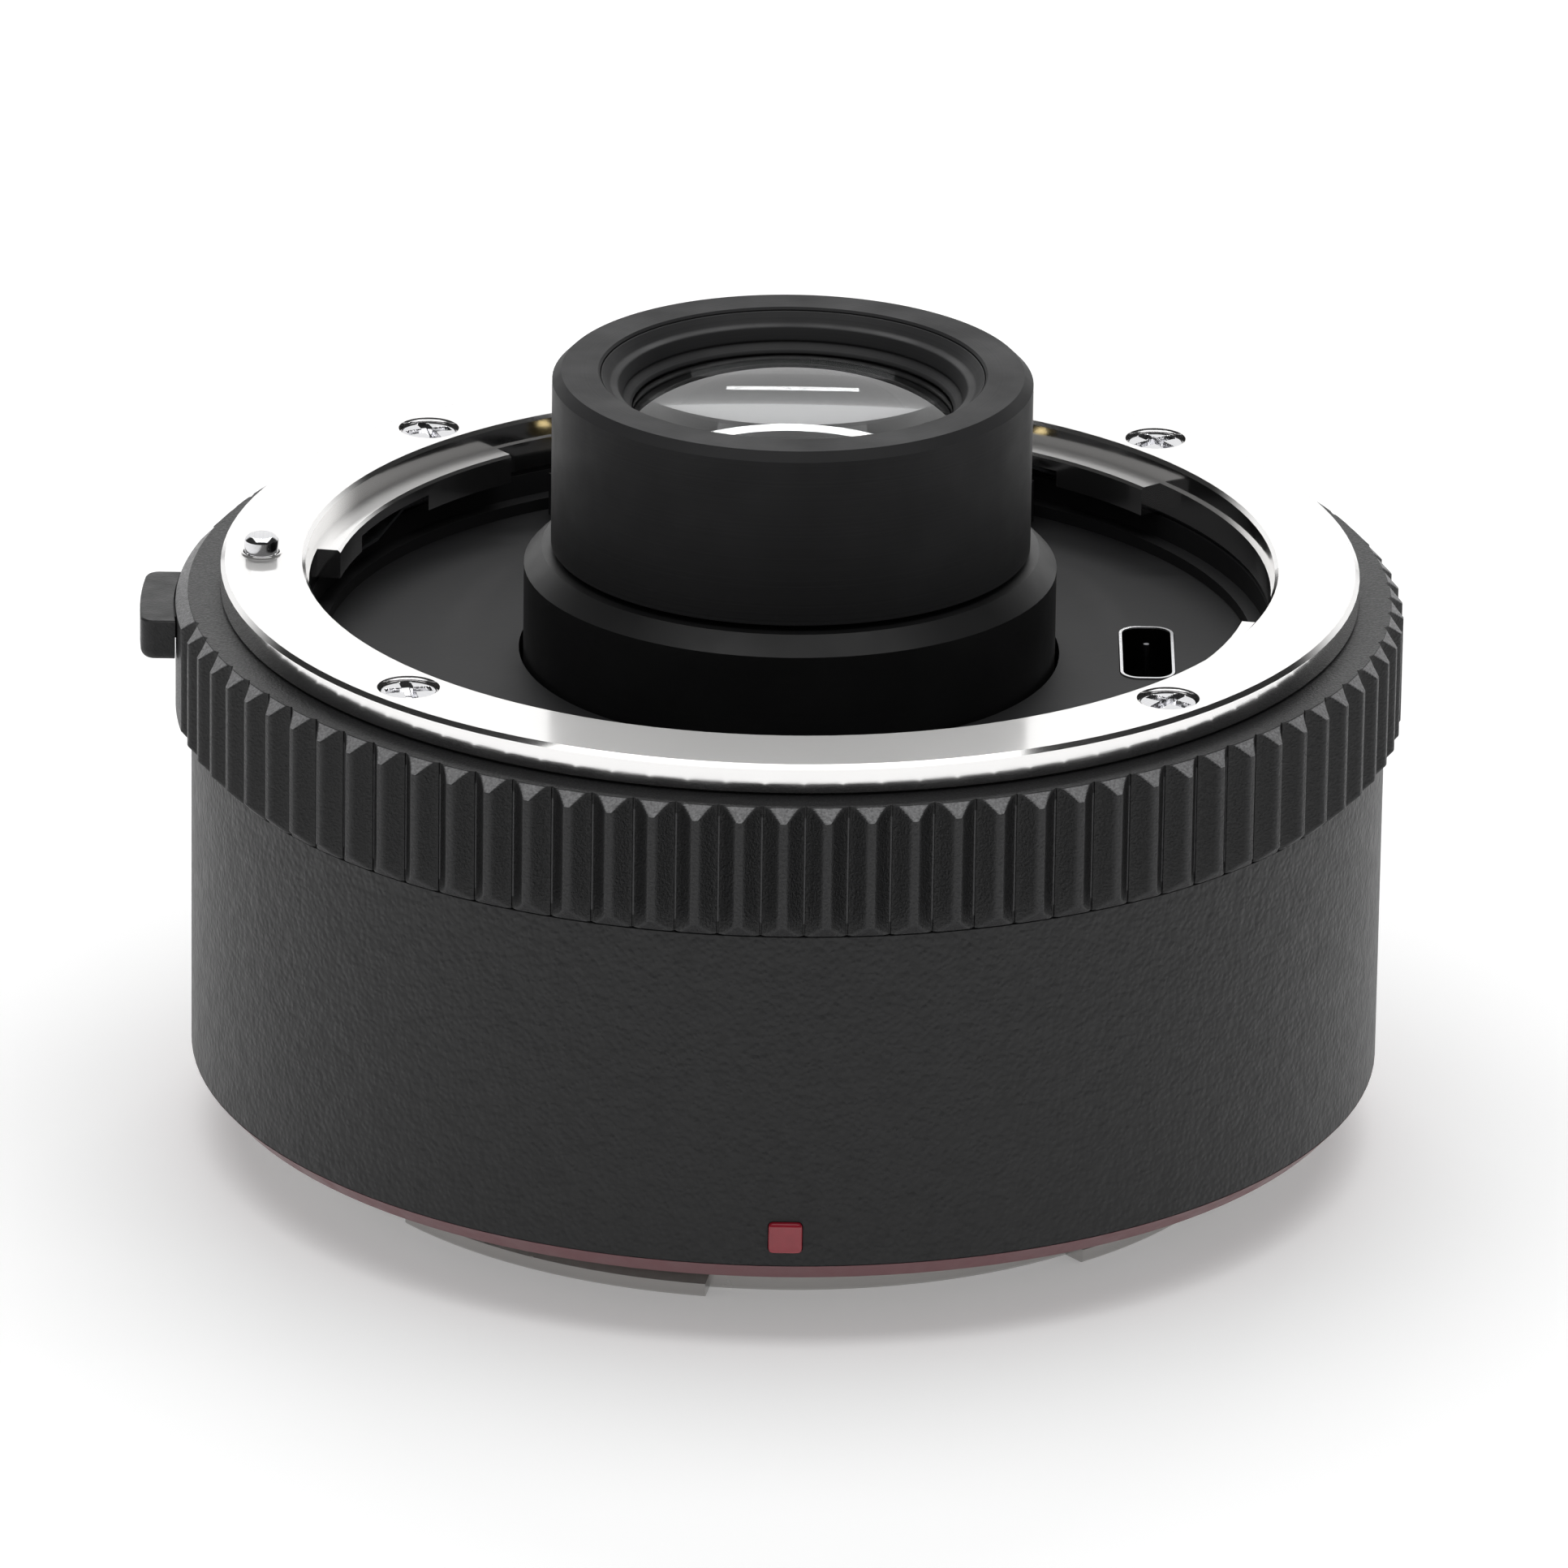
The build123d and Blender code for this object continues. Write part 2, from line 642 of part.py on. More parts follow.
def make_mount_leaf_spring():
    """A thin ring under the mount, with a rising leaf in each lug's undercut."""
    ring = tube(skirt_r, gap_wall_r + throat_bevel, leaf_ring_bottom_z, leaf_ring_top_z)
    inner = lug_inner_r + lug_bevel
    half = at(inner, spring_recess_span / 2)[1] - leaf_air
    roof = lug_bottom_z + spring_recess_height - leaf_air
    rise = roof - leaf_ring_top_z
    outline = Polyline(
        (half, leaf_ring_bottom_z), (half, leaf_ring_top_z), (half / 3, leaf_ring_top_z),
        (-half / 2, leaf_ring_top_z + rise), (-half, roof - rise / 4),
        (-half, roof - rise / 4 - leaf_thickness), (-half / 2, roof - leaf_thickness),
        (half / 3, leaf_ring_bottom_z), close=True)
    leaf = Pos(inner, 0, 0) * (Plane.YZ * extrude(make_face(outline), leaf_width))
    leaf &= rod(gap_wall_r - leaf_air, leaf_ring_bottom_z, roof)
    root = brick(inner, gap_wall_r + throat_bevel + leaf_air, half / 3, half, leaf_ring_bottom_z,
                 leaf_ring_top_z)
    for azimuth in lug_azimuths():
        ring += Rot(0, 0, azimuth + spring_recess_shift) * leaf
        ring += Rot(0, 0, azimuth + spring_recess_shift) * root
    return ring


# Throat
def make_throat_ring():
    corners = [
        (foot_r, baffle_top_z), (skirt_r, baffle_top_z),
        (skirt_r, leaf_ring_bottom_z - seat_gap), (gap_wall_r, leaf_ring_bottom_z - seat_gap),
        (gap_wall_r, baffle_top_z + foot_height), (foot_r, baffle_top_z + foot_height)]
    return turned(corners)


def flex_slot(y, low, high):
    """The cutter for the slit that a flat cable passes."""
    side = flex_width / 2 + flex_slot_air
    near = y - flex_slot_air
    return brick(-side, side, near, y + flex_thickness + flex_slot_air, low - overrun, high + overrun)


def slot_outline(air, depth_low, depth_high):
    """The upright prism of the slot, widened all round by some air."""
    outline = RectangleRounded(slot_width + air + air, slot_length + air + air, slot_corner_r + air)
    return Pos(slot_x, 0, depth_low) * extrude(outline, depth_high - depth_low)


def make_front_baffle_plate():
    plate = tube(skirt_r, collar_r + baffle_hole_air, baffle_bottom_z, baffle_top_z)
    plate -= slot_outline(sleeve_fit, baffle_bottom_z - overrun, baffle_top_z + overrun)
    plate -= flex_slot(front_flex_y, baffle_bottom_z, baffle_top_z)
    for azimuth in block_screw_azimuths():
        x, y = at(pin_circle_r, azimuth)
        plate -= rod(small_shank_r + seat_gap, baffle_bottom_z - overrun, baffle_top_z + overrun, x, y)
    return plate


def make_slot_liner():
    top = baffle_top_z + slot_rim_rise
    liner = slot_outline(0, top - slot_depth, top)
    return liner - slot_outline(-slot_wall, top - slot_depth + slot_floor, top + overrun)


def make_slot_post():
    bottom = baffle_top_z + slot_rim_rise - slot_depth + slot_floor
    return rod(slot_post_r, bottom, bottom + slot_post_height, slot_x, slot_post_y)


# Optics, stacked from the rim of the front barrel backwards
ring_top_z = barrel_top_z - ring_sink
glass_edge_z = barrel_top_z - glass_sink
glass_1 = edge_1 + sag(curve_1, front_half) - sag(curve_2, front_half)
glass_4 = edge_4 + sag(curve_5, triplet_half) - sag(curve_6, triplet_half)
glass_7 = edge_7 + sag(curve_9, doublet_half) - sag(curve_10, doublet_half)
glass_8 = edge_8 + sag(curve_11, field_half) - sag(curve_12, field_half)
vertex_1 = glass_edge_z + sag(curve_1, glass_clear_r) - seat_gap
vertex_2 = vertex_1 - glass_1
vertex_3 = vertex_2 - cement_gap - glass_2
spacer_1_bore = triplet_half - spacer_1_stop
spacer_1_top_z = lowest(vertex_3, curve_3, spacer_1_bore, front_half) - seat_gap
spacer_1_bottom_z = spacer_1_top_z - spacer_1_height
vertex_4 = spacer_1_bottom_z - seat_gap + rise_to_vertex(curve_4, spacer_1_bore, triplet_half)
vertex_5 = vertex_4 - glass_3
vertex_6 = vertex_5 - cement_gap - glass_4
vertex_7 = vertex_6 - cement_gap - glass_5
lip_z = lowest(vertex_7, curve_7, lip_r, triplet_half) - seat_gap
spigot_bottom_z = lip_z - lip_height
tube_lip_top_z = spigot_bottom_z - seat_gap
tube_lip_bottom_z = tube_lip_top_z - tube_lip_height
vertex_8 = tube_lip_bottom_z - seat_gap + rise_to_vertex(curve_8, tube_lip_r, doublet_half)
vertex_9 = vertex_8 - glass_6
vertex_10 = vertex_9 - cement_gap - glass_7
spacer_2_bore = doublet_half - spacer_face
spacer_2_top_z = lowest(vertex_10, curve_10, spacer_2_bore, doublet_half) - seat_gap
spacer_2_bottom_z = spacer_2_top_z - spacer_2_height
vertex_11 = spacer_2_bottom_z - seat_gap + rise_to_vertex(curve_11, spacer_2_bore, field_half)
vertex_12 = vertex_11 - glass_8
spacer_3_bore = field_half - spacer_face
spacer_3_top_z = lowest(vertex_12, curve_12, spacer_3_bore, field_half) - seat_gap
spacer_3_bottom_z = spacer_3_top_z - spacer_3_height
vertex_13 = spacer_3_bottom_z - seat_gap + rise_to_vertex(curve_13, spacer_3_bore, rear_half)
vertex_14 = vertex_13 - glass_9
rear_ring_top_z = lowest(vertex_14, curve_14, rear_ring_r, rear_half) - seat_gap
rear_ring_bottom_z = rear_ring_top_z - rear_ring_height
tube_end_z = rear_ring_bottom_z - mask_gap
front_cell_r = front_half + glass_fit
triplet_cell_r = triplet_half + glass_fit
doublet_cell_r = doublet_half + glass_fit
field_cell_r = field_half + glass_fit
rear_cell_r = rear_half + glass_fit
doublet_step_z = spacer_2_top_z - spacer_2_height / 4
rear_step_z = spacer_3_top_z - spacer_3_height / 4


def make_lens_elements():
    """The nine elements, front to back."""
    gap = cement_gap
    return [
        glass(vertex_1, curve_1, vertex_2, curve_2, front_half),
        glass(vertex_2 - gap, curve_2, vertex_3, curve_3, front_half),
        glass(vertex_4, curve_4, vertex_5, curve_5, triplet_half),
        glass(vertex_5 - gap, curve_5, vertex_6, curve_6, triplet_half),
        glass(vertex_6 - gap, curve_6, vertex_7, curve_7, triplet_half),
        glass(vertex_8, curve_8, vertex_9, curve_9, doublet_half),
        glass(vertex_9 - gap, curve_9, vertex_10, curve_10, doublet_half),
        glass(vertex_11, curve_11, vertex_12, curve_12, field_half),
        glass(vertex_13, curve_13, vertex_14, curve_14, rear_half)]


def make_front_lens_barrel():
    step_z = spacer_1_bottom_z - seat_gap - seat_gap
    floor_z = glass_edge_z - collar_gap
    corners = [
        (lip_r, spigot_bottom_z), (spigot_r, spigot_bottom_z), (spigot_r, barrel_bottom_z),
        (barrel_r, barrel_bottom_z), (barrel_r, barrel_top_z - barrel_bevel),
        (barrel_r - barrel_bevel, barrel_top_z), (mouth_r + mouth_bevel, barrel_top_z),
        (mouth_r, barrel_top_z - mouth_bevel), (mouth_r, floor_z), (front_cell_r, floor_z),
        (front_cell_r, step_z), (triplet_cell_r, step_z), (triplet_cell_r, lip_z), (lip_r, lip_z)]
    return turned(corners)


def make_front_retaining_ring():
    outer = mouth_r - sleeve_fit
    corners = [
        (glass_clear_r, glass_edge_z), (outer, glass_edge_z), (outer, ring_top_z),
        (ring_top_r, ring_top_z), (ring_wall_r, ring_top_z - ring_wall_drop),
        (glass_clear_r, glass_edge_z + mouth_bevel)]
    return turned(corners)


def make_lens_spacer_1():
    return tube(front_half, spacer_1_bore, spacer_1_bottom_z, spacer_1_top_z)


def make_lens_spacer_2():
    shoulder = doublet_step_z - seat_gap - seat_gap
    corners = [
        (spacer_2_bore, spacer_2_bottom_z), (field_half, spacer_2_bottom_z), (field_half, shoulder),
        (doublet_half, shoulder), (doublet_half, spacer_2_top_z), (spacer_2_bore, spacer_2_top_z)]
    return turned(corners)


def make_lens_spacer_3():
    shoulder = rear_step_z - seat_gap - seat_gap
    corners = [
        (spacer_3_bore, spacer_3_bottom_z), (rear_half, spacer_3_bottom_z), (rear_half, shoulder),
        (field_half, shoulder), (field_half, spacer_3_top_z), (spacer_3_bore, spacer_3_top_z)]
    return turned(corners)


def make_optical_tube():
    rear_r = rear_cell_r + cell_wall
    flange_top_z = shelf_top + tube_flange_height
    bore = spigot_r + sleeve_fit
    corners = [
        (bore, tube_lip_top_z), (bore, collar_top_z), (collar_r - collar_bevel, collar_top_z),
        (collar_r, collar_top_z - collar_bevel), (collar_r, flange_top_z),
        (tube_flange_r, flange_top_z), (tube_flange_r, shelf_top), (rear_r, shelf_top),
        (rear_r, tube_end_z), (rear_cell_r, tube_end_z), (rear_cell_r, rear_step_z),
        (field_cell_r, rear_step_z), (field_cell_r, doublet_step_z),
        (doublet_cell_r, doublet_step_z), (doublet_cell_r, tube_lip_bottom_z),
        (tube_lip_r, tube_lip_bottom_z), (tube_lip_r, tube_lip_top_z)]
    body = turned(corners)
    for azimuth in around(standoff_count, standoff_azimuth, 360 / standoff_count):
        x, y = at(standoff_circle_r, azimuth)
        body += rod(standoff_r, shelf_top, board_bottom_z, x, y)
        body -= rod(small_shank_r + seat_gap, shelf_top - overrun, board_bottom_z + overrun, x, y)
    for azimuth in around(screw_count, screw_azimuth, 360 / screw_count):
        x, y = at(tube_screw_circle_r, azimuth)
        body -= rod(screw_shank_r + sleeve_fit, shelf_top - overrun, flange_top_z + overrun, x, y)
    return body - flex_slot(rear_flex_y, shelf_top, flange_top_z)


def make_optical_tube_screws():
    seat = shelf_top + tube_flange_height
    length = tube_flange_height + shelf_height
    screw = pan_screw(tube_screw_head_r, tube_screw_head_height, screw_shank_r, seat, length)
    places = around(screw_count, screw_azimuth, 360 / screw_count)
    return Compound([Pos(*at(tube_screw_circle_r, azimuth), 0) * screw for azimuth in places])


def make_rear_retaining_ring():
    ring = tube(rear_half, rear_ring_r, rear_ring_bottom_z, rear_ring_top_z)
    half = rear_ring_notch / 2
    for side in (-1, 1):
        near, far = sorted((side * (rear_ring_r - overrun), side * (rear_ring_r + half)))
        ring -= brick(near, far, -half, half, rear_ring_bottom_z - overrun, rear_ring_bottom_z + half)
    return ring


# Camera-side mount
def make_camera_side_mount():
    corners = [
        (neck_bore_r, -neck_height), (neck_r - throat_bevel, -neck_height),
        (neck_r, throat_bevel - neck_height), (neck_r, -pilot_height),
        (pilot_r - throat_bevel, -pilot_height), (pilot_r, throat_bevel - pilot_height),
        (pilot_r, 0), (camera_flange_r, 0), (camera_flange_r, camera_flange_height),
        (neck_bore_r, camera_flange_height)]
    mount = turned(corners)
    lug = [
        (neck_r - throat_bevel, -neck_height), (male_lug_r - lug_bevel, -neck_height),
        (male_lug_r, lug_bevel - neck_height), (male_lug_r, male_lug_height - neck_height),
        (neck_r - throat_bevel, male_lug_height - neck_height)]
    for azimuth in lug_azimuths():
        mount += turned(lug, lug_span, azimuth)
    cutter = screw_hole(camera_screw_head_r + seat_gap, 0, seat_gap, -camera_flange_height - overrun)
    for azimuth in around(screw_count, screw_azimuth, 360 / screw_count):
        x, y = at(camera_screw_circle_r, azimuth)
        mount -= Pos(x, y, 0) * Rot(180, 0, 0) * cutter
    for azimuth in around(baffle_screw_count, baffle_screw_azimuth, 360 / baffle_screw_count):
        x, y = at(baffle_screw_circle_r, azimuth)
        low = camera_flange_height - small_shank_length
        mount -= rod(small_shank_r + seat_gap, low, camera_flange_height + overrun, x, y)
    return mount - rod(lock_pin_r + running_fit + seat_gap, -overrun, pin_hole_depth, -lock_circle_r, 0)


def make_camera_mount_screws():
    screw = Rot(180, 0, 0) * countersunk(camera_screw_head_r, -rear_screw_length, -seat_gap)
    places = around(screw_count, screw_azimuth, 360 / screw_count)
    return Compound([Pos(*at(camera_screw_circle_r, azimuth), 0) * screw for azimuth in places])


def make_rear_baffle():
    skirt = neck_bore_r - sleeve_fit
    flange_top = camera_flange_height + rear_baffle_flange_height
    corners = [
        (skirt - rear_baffle_wall, flange_top), (rear_baffle_flange_r, flange_top),
        (rear_baffle_flange_r, camera_flange_height), (skirt, camera_flange_height),
        (skirt, rear_plate_bottom_z), (0, rear_plate_bottom_z), (0, rear_plate_top_z),
        (skirt - rear_baffle_wall, rear_plate_top_z)]
    baffle = turned(corners)
    window = RectangleRounded(window_width, window_height, window_corner_r)
    height = rear_baffle_plate_height + overrun + overrun
    baffle -= Pos(0, 0, rear_plate_bottom_z - overrun) * extrude(window, height)
    baffle -= flex_slot(rear_flex_y, rear_plate_bottom_z, rear_plate_top_z)
    for azimuth in around(baffle_screw_count, baffle_screw_azimuth, 360 / baffle_screw_count):
        x, y = at(baffle_screw_circle_r, azimuth)
        baffle -= rod(small_shank_r + seat_gap, camera_flange_height - overrun, flange_top + overrun, x, y)
    for azimuth in block_screw_azimuths():
        x, y = at(pad_circle_r, azimuth)
        baffle -= rod(small_shank_r + seat_gap, rear_plate_bottom_z - overrun,
                      rear_plate_top_z + overrun, x, y)
    return baffle


def make_rear_baffle_screws():
    seat = camera_flange_height + rear_baffle_flange_height
    length = small_shank_length + rear_baffle_flange_height - seat_gap
    screw = pan_screw(small_head_r, small_head_height, small_shank_r, seat, length)
    places = around(baffle_screw_count, baffle_screw_azimuth, 360 / baffle_screw_count)
    return Compound([Pos(*at(baffle_screw_circle_r, azimuth), 0) * screw for azimuth in places])


# Contacts
def block_screw_azimuths():
    """The two ends of a contact block, where its screws are."""
    reach = contact_span / 2 + block_screw_step
    return [contact_azimuth - reach, contact_azimuth + reach]


def make_front_contact_block():
    block = sector(front_block_outer_r, front_block_inner_r, baffle_top_z, front_block_top_z,
                   contact_azimuth, block_span)
    for azimuth in contact_azimuths():
        x, y = at(pin_circle_r, azimuth)
        block -= rod(pin_r + running_fit, baffle_top_z + front_block_floor, front_block_top_z + overrun, x, y)
        block -= rod(pin_collar_r + running_fit, baffle_top_z + front_block_floor, block_cavity_top_z, x, y)
    for azimuth in block_screw_azimuths():
        x, y = at(pin_circle_r, azimuth)
        head_z = front_block_top_z - small_head_height
        block -= rod(small_shank_r + seat_gap, baffle_top_z - overrun, front_block_top_z + overrun, x, y)
        block -= rod(small_head_r + seat_gap, head_z, front_block_top_z + overrun, x, y)
    return block


def make_contact_pins():
    tip = front_block_top_z + pin_pressed_rise + pin_travel
    corners = [
        (0, pin_collar_bottom_z), (pin_collar_r, pin_collar_bottom_z),
        (pin_collar_r, pin_collar_bottom_z + pin_collar_height),
        (pin_r, pin_collar_bottom_z + pin_collar_height), (pin_r, tip - pin_r / 2),
        (pin_r / 2, tip), (0, tip)]
    pin = turned(corners)
    return Compound([Pos(*at(pin_circle_r, azimuth), 0) * pin for azimuth in contact_azimuths()])


def make_contact_springs():
    bottom = baffle_top_z + front_block_floor + seat_gap
    spring = tube(pin_collar_r, pin_collar_r - pin_spring_wall, bottom, pin_collar_bottom_z - seat_gap)
    return Compound([Pos(*at(pin_circle_r, azimuth), 0) * spring for azimuth in contact_azimuths()])


def make_front_contact_screws():
    seat = front_block_top_z - small_head_height
    length = seat - baffle_bottom_z
    screw = pan_screw(small_head_r, small_head_height, small_shank_r, seat, length)
    return Compound([Pos(*at(pin_circle_r, azimuth), 0) * screw for azimuth in block_screw_azimuths()])


def make_rear_contact_block():
    bottom = rear_plate_bottom_z - rear_block_height
    block = sector(rear_block_outer_r, rear_block_inner_r, bottom, rear_plate_bottom_z,
                   contact_azimuth, block_span)
    for azimuth in contact_azimuths():
        x, y = at(pad_circle_r, azimuth)
        block -= rod(pad_r + seat_gap, bottom - overrun, bottom + pad_height, x, y)
    for azimuth in block_screw_azimuths():
        x, y = at(pad_circle_r, azimuth)
        block -= rod(small_shank_r + seat_gap, bottom - overrun, rear_plate_bottom_z + overrun, x, y)
        block -= rod(small_head_r + seat_gap, bottom - overrun, bottom + small_head_height, x, y)
    return block


def make_rear_contact_pads():
    bottom = rear_plate_bottom_z - rear_block_height
    pad = rod(pad_r, bottom - pad_proud, bottom + pad_height)
    return Compound([Pos(*at(pad_circle_r, azimuth), 0) * pad for azimuth in contact_azimuths()])


def make_rear_contact_screws():
    seat = rear_block_height - rear_plate_bottom_z - small_head_height
    length = seat + rear_plate_top_z
    screw = Rot(180, 0, 0) * pan_screw(small_head_r, small_head_height, small_shank_r, seat, length)
    return Compound([Pos(*at(pad_circle_r, azimuth), 0) * screw for azimuth in block_screw_azimuths()])


# Electronics
def make_circuit_board():
    board = tube(board_outer_r, board_inner_r, board_bottom_z, board_top_z)
    for azimuth in around(standoff_count, standoff_azimuth, 360 / standoff_count):
        x, y = at(standoff_circle_r, azimuth)
        board -= rod(small_shank_r + seat_gap, board_bottom_z - overrun, board_top_z + overrun, x, y)
    return board


def make_board_screws():
    length = board_height + standoff_height + tube_flange_height
    screw = pan_screw(small_head_r, small_head_height, small_shank_r, board_top_z, length)
    places = around(standoff_count, standoff_azimuth, 360 / standoff_count)
    return Compound([Pos(*at(standoff_circle_r, azimuth), 0) * screw for azimuth in places])


def make_board_chips():
    half = chip_side / 2
    chips = []
    first = chip_azimuth - chip_step * (chip_count - 1) / 2
    for index, azimuth in enumerate(around(chip_count, first, chip_step)):
        side = half / (1 + index % 2)
        chip = brick(-side, side, -half, half, board_top_z, board_top_z + chip_height)
        chips.append(Rot(0, 0, azimuth) * Pos(chip_circle_r, 0, 0) * chip)
    return Compound(chips)


def make_front_flex_cable():
    half = flex_width / 2
    far = front_flex_y + flex_thickness
    strip = brick(-half, half, front_flex_y, far, board_top_z, baffle_top_z)
    return strip + brick(-half, half, front_flex_y - flex_lap, far, board_top_z, board_top_z + flex_thickness)


def make_rear_flex_cable():
    half = flex_width / 2
    far = rear_flex_y + flex_thickness
    strip = brick(-half, half, rear_flex_y, far, rear_plate_bottom_z, board_bottom_z)
    lap = brick(-half, half, rear_flex_y, far + flex_lap, board_bottom_z - flex_thickness, board_bottom_z)
    return strip + lap


# Lens release
def make_release_lever():
    inner = grip_r + skin_gap
    low = pad_top_z - release_pad_height
    pad = tube(pad_outer_r, inner, low, pad_top_z)
    pad &= brick(-pad_outer_r, -pocket_outer_x, -pad_half_width, pad_half_width, low, pad_top_z)
    pad = fillet(pad.edges().filter_by(Axis.Z).sort_by(Axis.X)[:2], release_pad_corner_r)
    pad = fillet(pad.faces().sort_by(Axis.Z)[0].edges().sort_by(Axis.X)[0], release_pad_edge_r)
    pad = chamfer(pad.faces().sort_by(Axis.Z)[-1].edges().sort_by(Axis.X)[0], release_pad_bevel)
    root = pocket_outer_x - slide_gap - stem_root
    stem = brick(-inner - skin_gap, -root, -stem_half_width, stem_half_width, stem_bottom_z, carriage_top_z)
    return pad + stem


def make_release_carriage():
    outer = pocket_outer_x - slide_gap
    inner = pocket_inner_r + slide_gap / 3
    block = brick(-outer, -inner, -carriage_half_width, carriage_half_width, carriage_bottom_z, carriage_top_z)
    side = stem_half_width + seat_gap
    block -= brick(-outer - overrun, stem_root + seat_gap - outer, -side, side,
                   stem_bottom_z - seat_gap, carriage_top_z + overrun)
    block -= rod(lock_pin_r + seat_gap, carriage_bottom_z - overrun, carriage_top_z + overrun,
                 -lock_circle_r, 0)
    for y in (-guide_rod_y, guide_rod_y):
        block -= rod(guide_rod_r + running_fit, carriage_bottom_z - overrun, carriage_top_z + overrun,
                     -lock_circle_r, y)
    return block


def make_lock_pin():
    top = face_z + lock_pin_rise
    corners = [(0, carriage_bottom_z), (lock_pin_r, carriage_bottom_z), (lock_pin_r, top - lock_pin_bevel),
               (lock_pin_r - lock_pin_bevel, top), (0, top)]
    return Pos(-lock_circle_r, 0, 0) * turned(corners)


def make_guide_rods():
    bottom = thick_wall_bottom - guide_rod_seat
    top = pocket_top_z + guide_rod_seat
    rods = [rod(guide_rod_r, bottom, top, -lock_circle_r, y) for y in (-guide_rod_y, guide_rod_y)]
    return Compound(rods)


def make_spring_bracket():
    bottom = thick_wall_bottom - bracket_height
    bracket = brick(-pocket_outer_x, -pocket_inner_r, -bracket_half_width, bracket_half_width, bottom,
                    thick_wall_bottom)
    bracket &= tube(body_inner_r - sleeve_fit, casing_bore_r, bottom, thick_wall_bottom)
    for y in (-guide_rod_y, guide_rod_y):
        low = thick_wall_bottom - guide_rod_seat - seat_gap
        bracket -= rod(guide_rod_r + seat_gap, low, thick_wall_bottom + overrun, -lock_circle_r, y)
    for y in (-bracket_screw_y, bracket_screw_y):
        bracket -= rod(small_shank_r + seat_gap, bottom - overrun, thick_wall_bottom + overrun,
                       -lock_circle_r, y)
    return bracket


def make_bracket_screws():
    seat = bracket_height - thick_wall_bottom
    length = bracket_height + small_shank_length - seat_gap
    screw = Rot(180, 0, 0) * pan_screw(small_head_r, small_head_height, small_shank_r, seat, length)
    return Compound([Pos(-lock_circle_r, y, 0) * screw for y in (-bracket_screw_y, bracket_screw_y)])


def make_lock_spring():
    spring = tube(lock_spring_r, lock_spring_r - lock_spring_wall, thick_wall_bottom + seat_gap,
                  carriage_bottom_z - seat_gap)
    return Pos(-lock_circle_r, 0, 0) * (spring & brick(
        lock_circle_r - pocket_outer_x, lock_circle_r - pocket_inner_r - slide_gap / 3,
        -lock_spring_r, lock_spring_r, thick_wall_bottom, carriage_bottom_z))


pieces = {
    "main_barrel": make_main_barrel(),
    "accent_ring": make_accent_ring(),
    "index_bead": make_index_bead(),
    "grip_ring": make_grip_ring(),
    "lens_side_mount": make_lens_side_mount(),
    "lens_mount_screws": make_lens_mount_screws(),
    "mount_leaf_spring": make_mount_leaf_spring(),
    "throat_ring": make_throat_ring(),
    "front_baffle_plate": make_front_baffle_plate(),
    "slot_liner": make_slot_liner(),
    "slot_post": make_slot_post(),
    "front_lens_barrel": make_front_lens_barrel(),
    "front_retaining_ring": make_front_retaining_ring(),
    "lens_spacer_1": make_lens_spacer_1(),
    "lens_spacer_2": make_lens_spacer_2(),
    "lens_spacer_3": make_lens_spacer_3(),
    "optical_tube": make_optical_tube(),
    "optical_tube_screws": make_optical_tube_screws(),
    "rear_retaining_ring": make_rear_retaining_ring(),
    "camera_side_mount": make_camera_side_mount(),
    "camera_mount_screws": make_camera_mount_screws(),
    "rear_baffle": make_rear_baffle(),
    "rear_baffle_screws": make_rear_baffle_screws(),
    "front_contact_block": make_front_contact_block(),
    "contact_pins": make_contact_pins(),
    "contact_springs": make_contact_springs(),
    "front_contact_screws": make_front_contact_screws(),
    "rear_contact_block": make_rear_contact_block(),
    "rear_contact_pads": make_rear_contact_pads(),
    "rear_contact_screws": make_rear_contact_screws(),
    "circuit_board": make_circuit_board(),
    "board_screws": make_board_screws(),
    "board_chips": make_board_chips(),
    "front_flex_cable": make_front_flex_cable(),
    "rear_flex_cable": make_rear_flex_cable(),
    "release_lever": make_release_lever(),
    "release_carriage": make_release_carriage(),
    "lock_pin": make_lock_pin(),
    "guide_rods": make_guide_rods(),
    "spring_bracket": make_spring_bracket(),
    "bracket_screws": make_bracket_screws(),
    "lock_spring": make_lock_spring(),
}
for number, element in enumerate(make_lens_elements(), start=1):
    pieces[f"lens_element_{number}"] = element

os.makedirs("parts", exist_ok=True)
for name, piece in pieces.items():
    export_step(piece, f"parts/{name}.step")
print(len(pieces), "pieces, barrel rim at", round(barrel_top_z, 2), "tube end at", round(tube_end_z, 2))
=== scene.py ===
# %% [markdown]
# # A camera teleconverter
# A teleconverter is a short drum with a bayonet at each end and a group of lenses between them.
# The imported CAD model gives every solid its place. This file dresses it: it gives each node a
# finish, and swaps the pieces whose charm is in small forms, such as the ribbed ring, the
# screws, the springs and the glass, for surfaces worked out with numpy.

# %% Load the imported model
import json
import math

import bmesh
import bpy
import numpy as np
from mathutils import Matrix, Vector


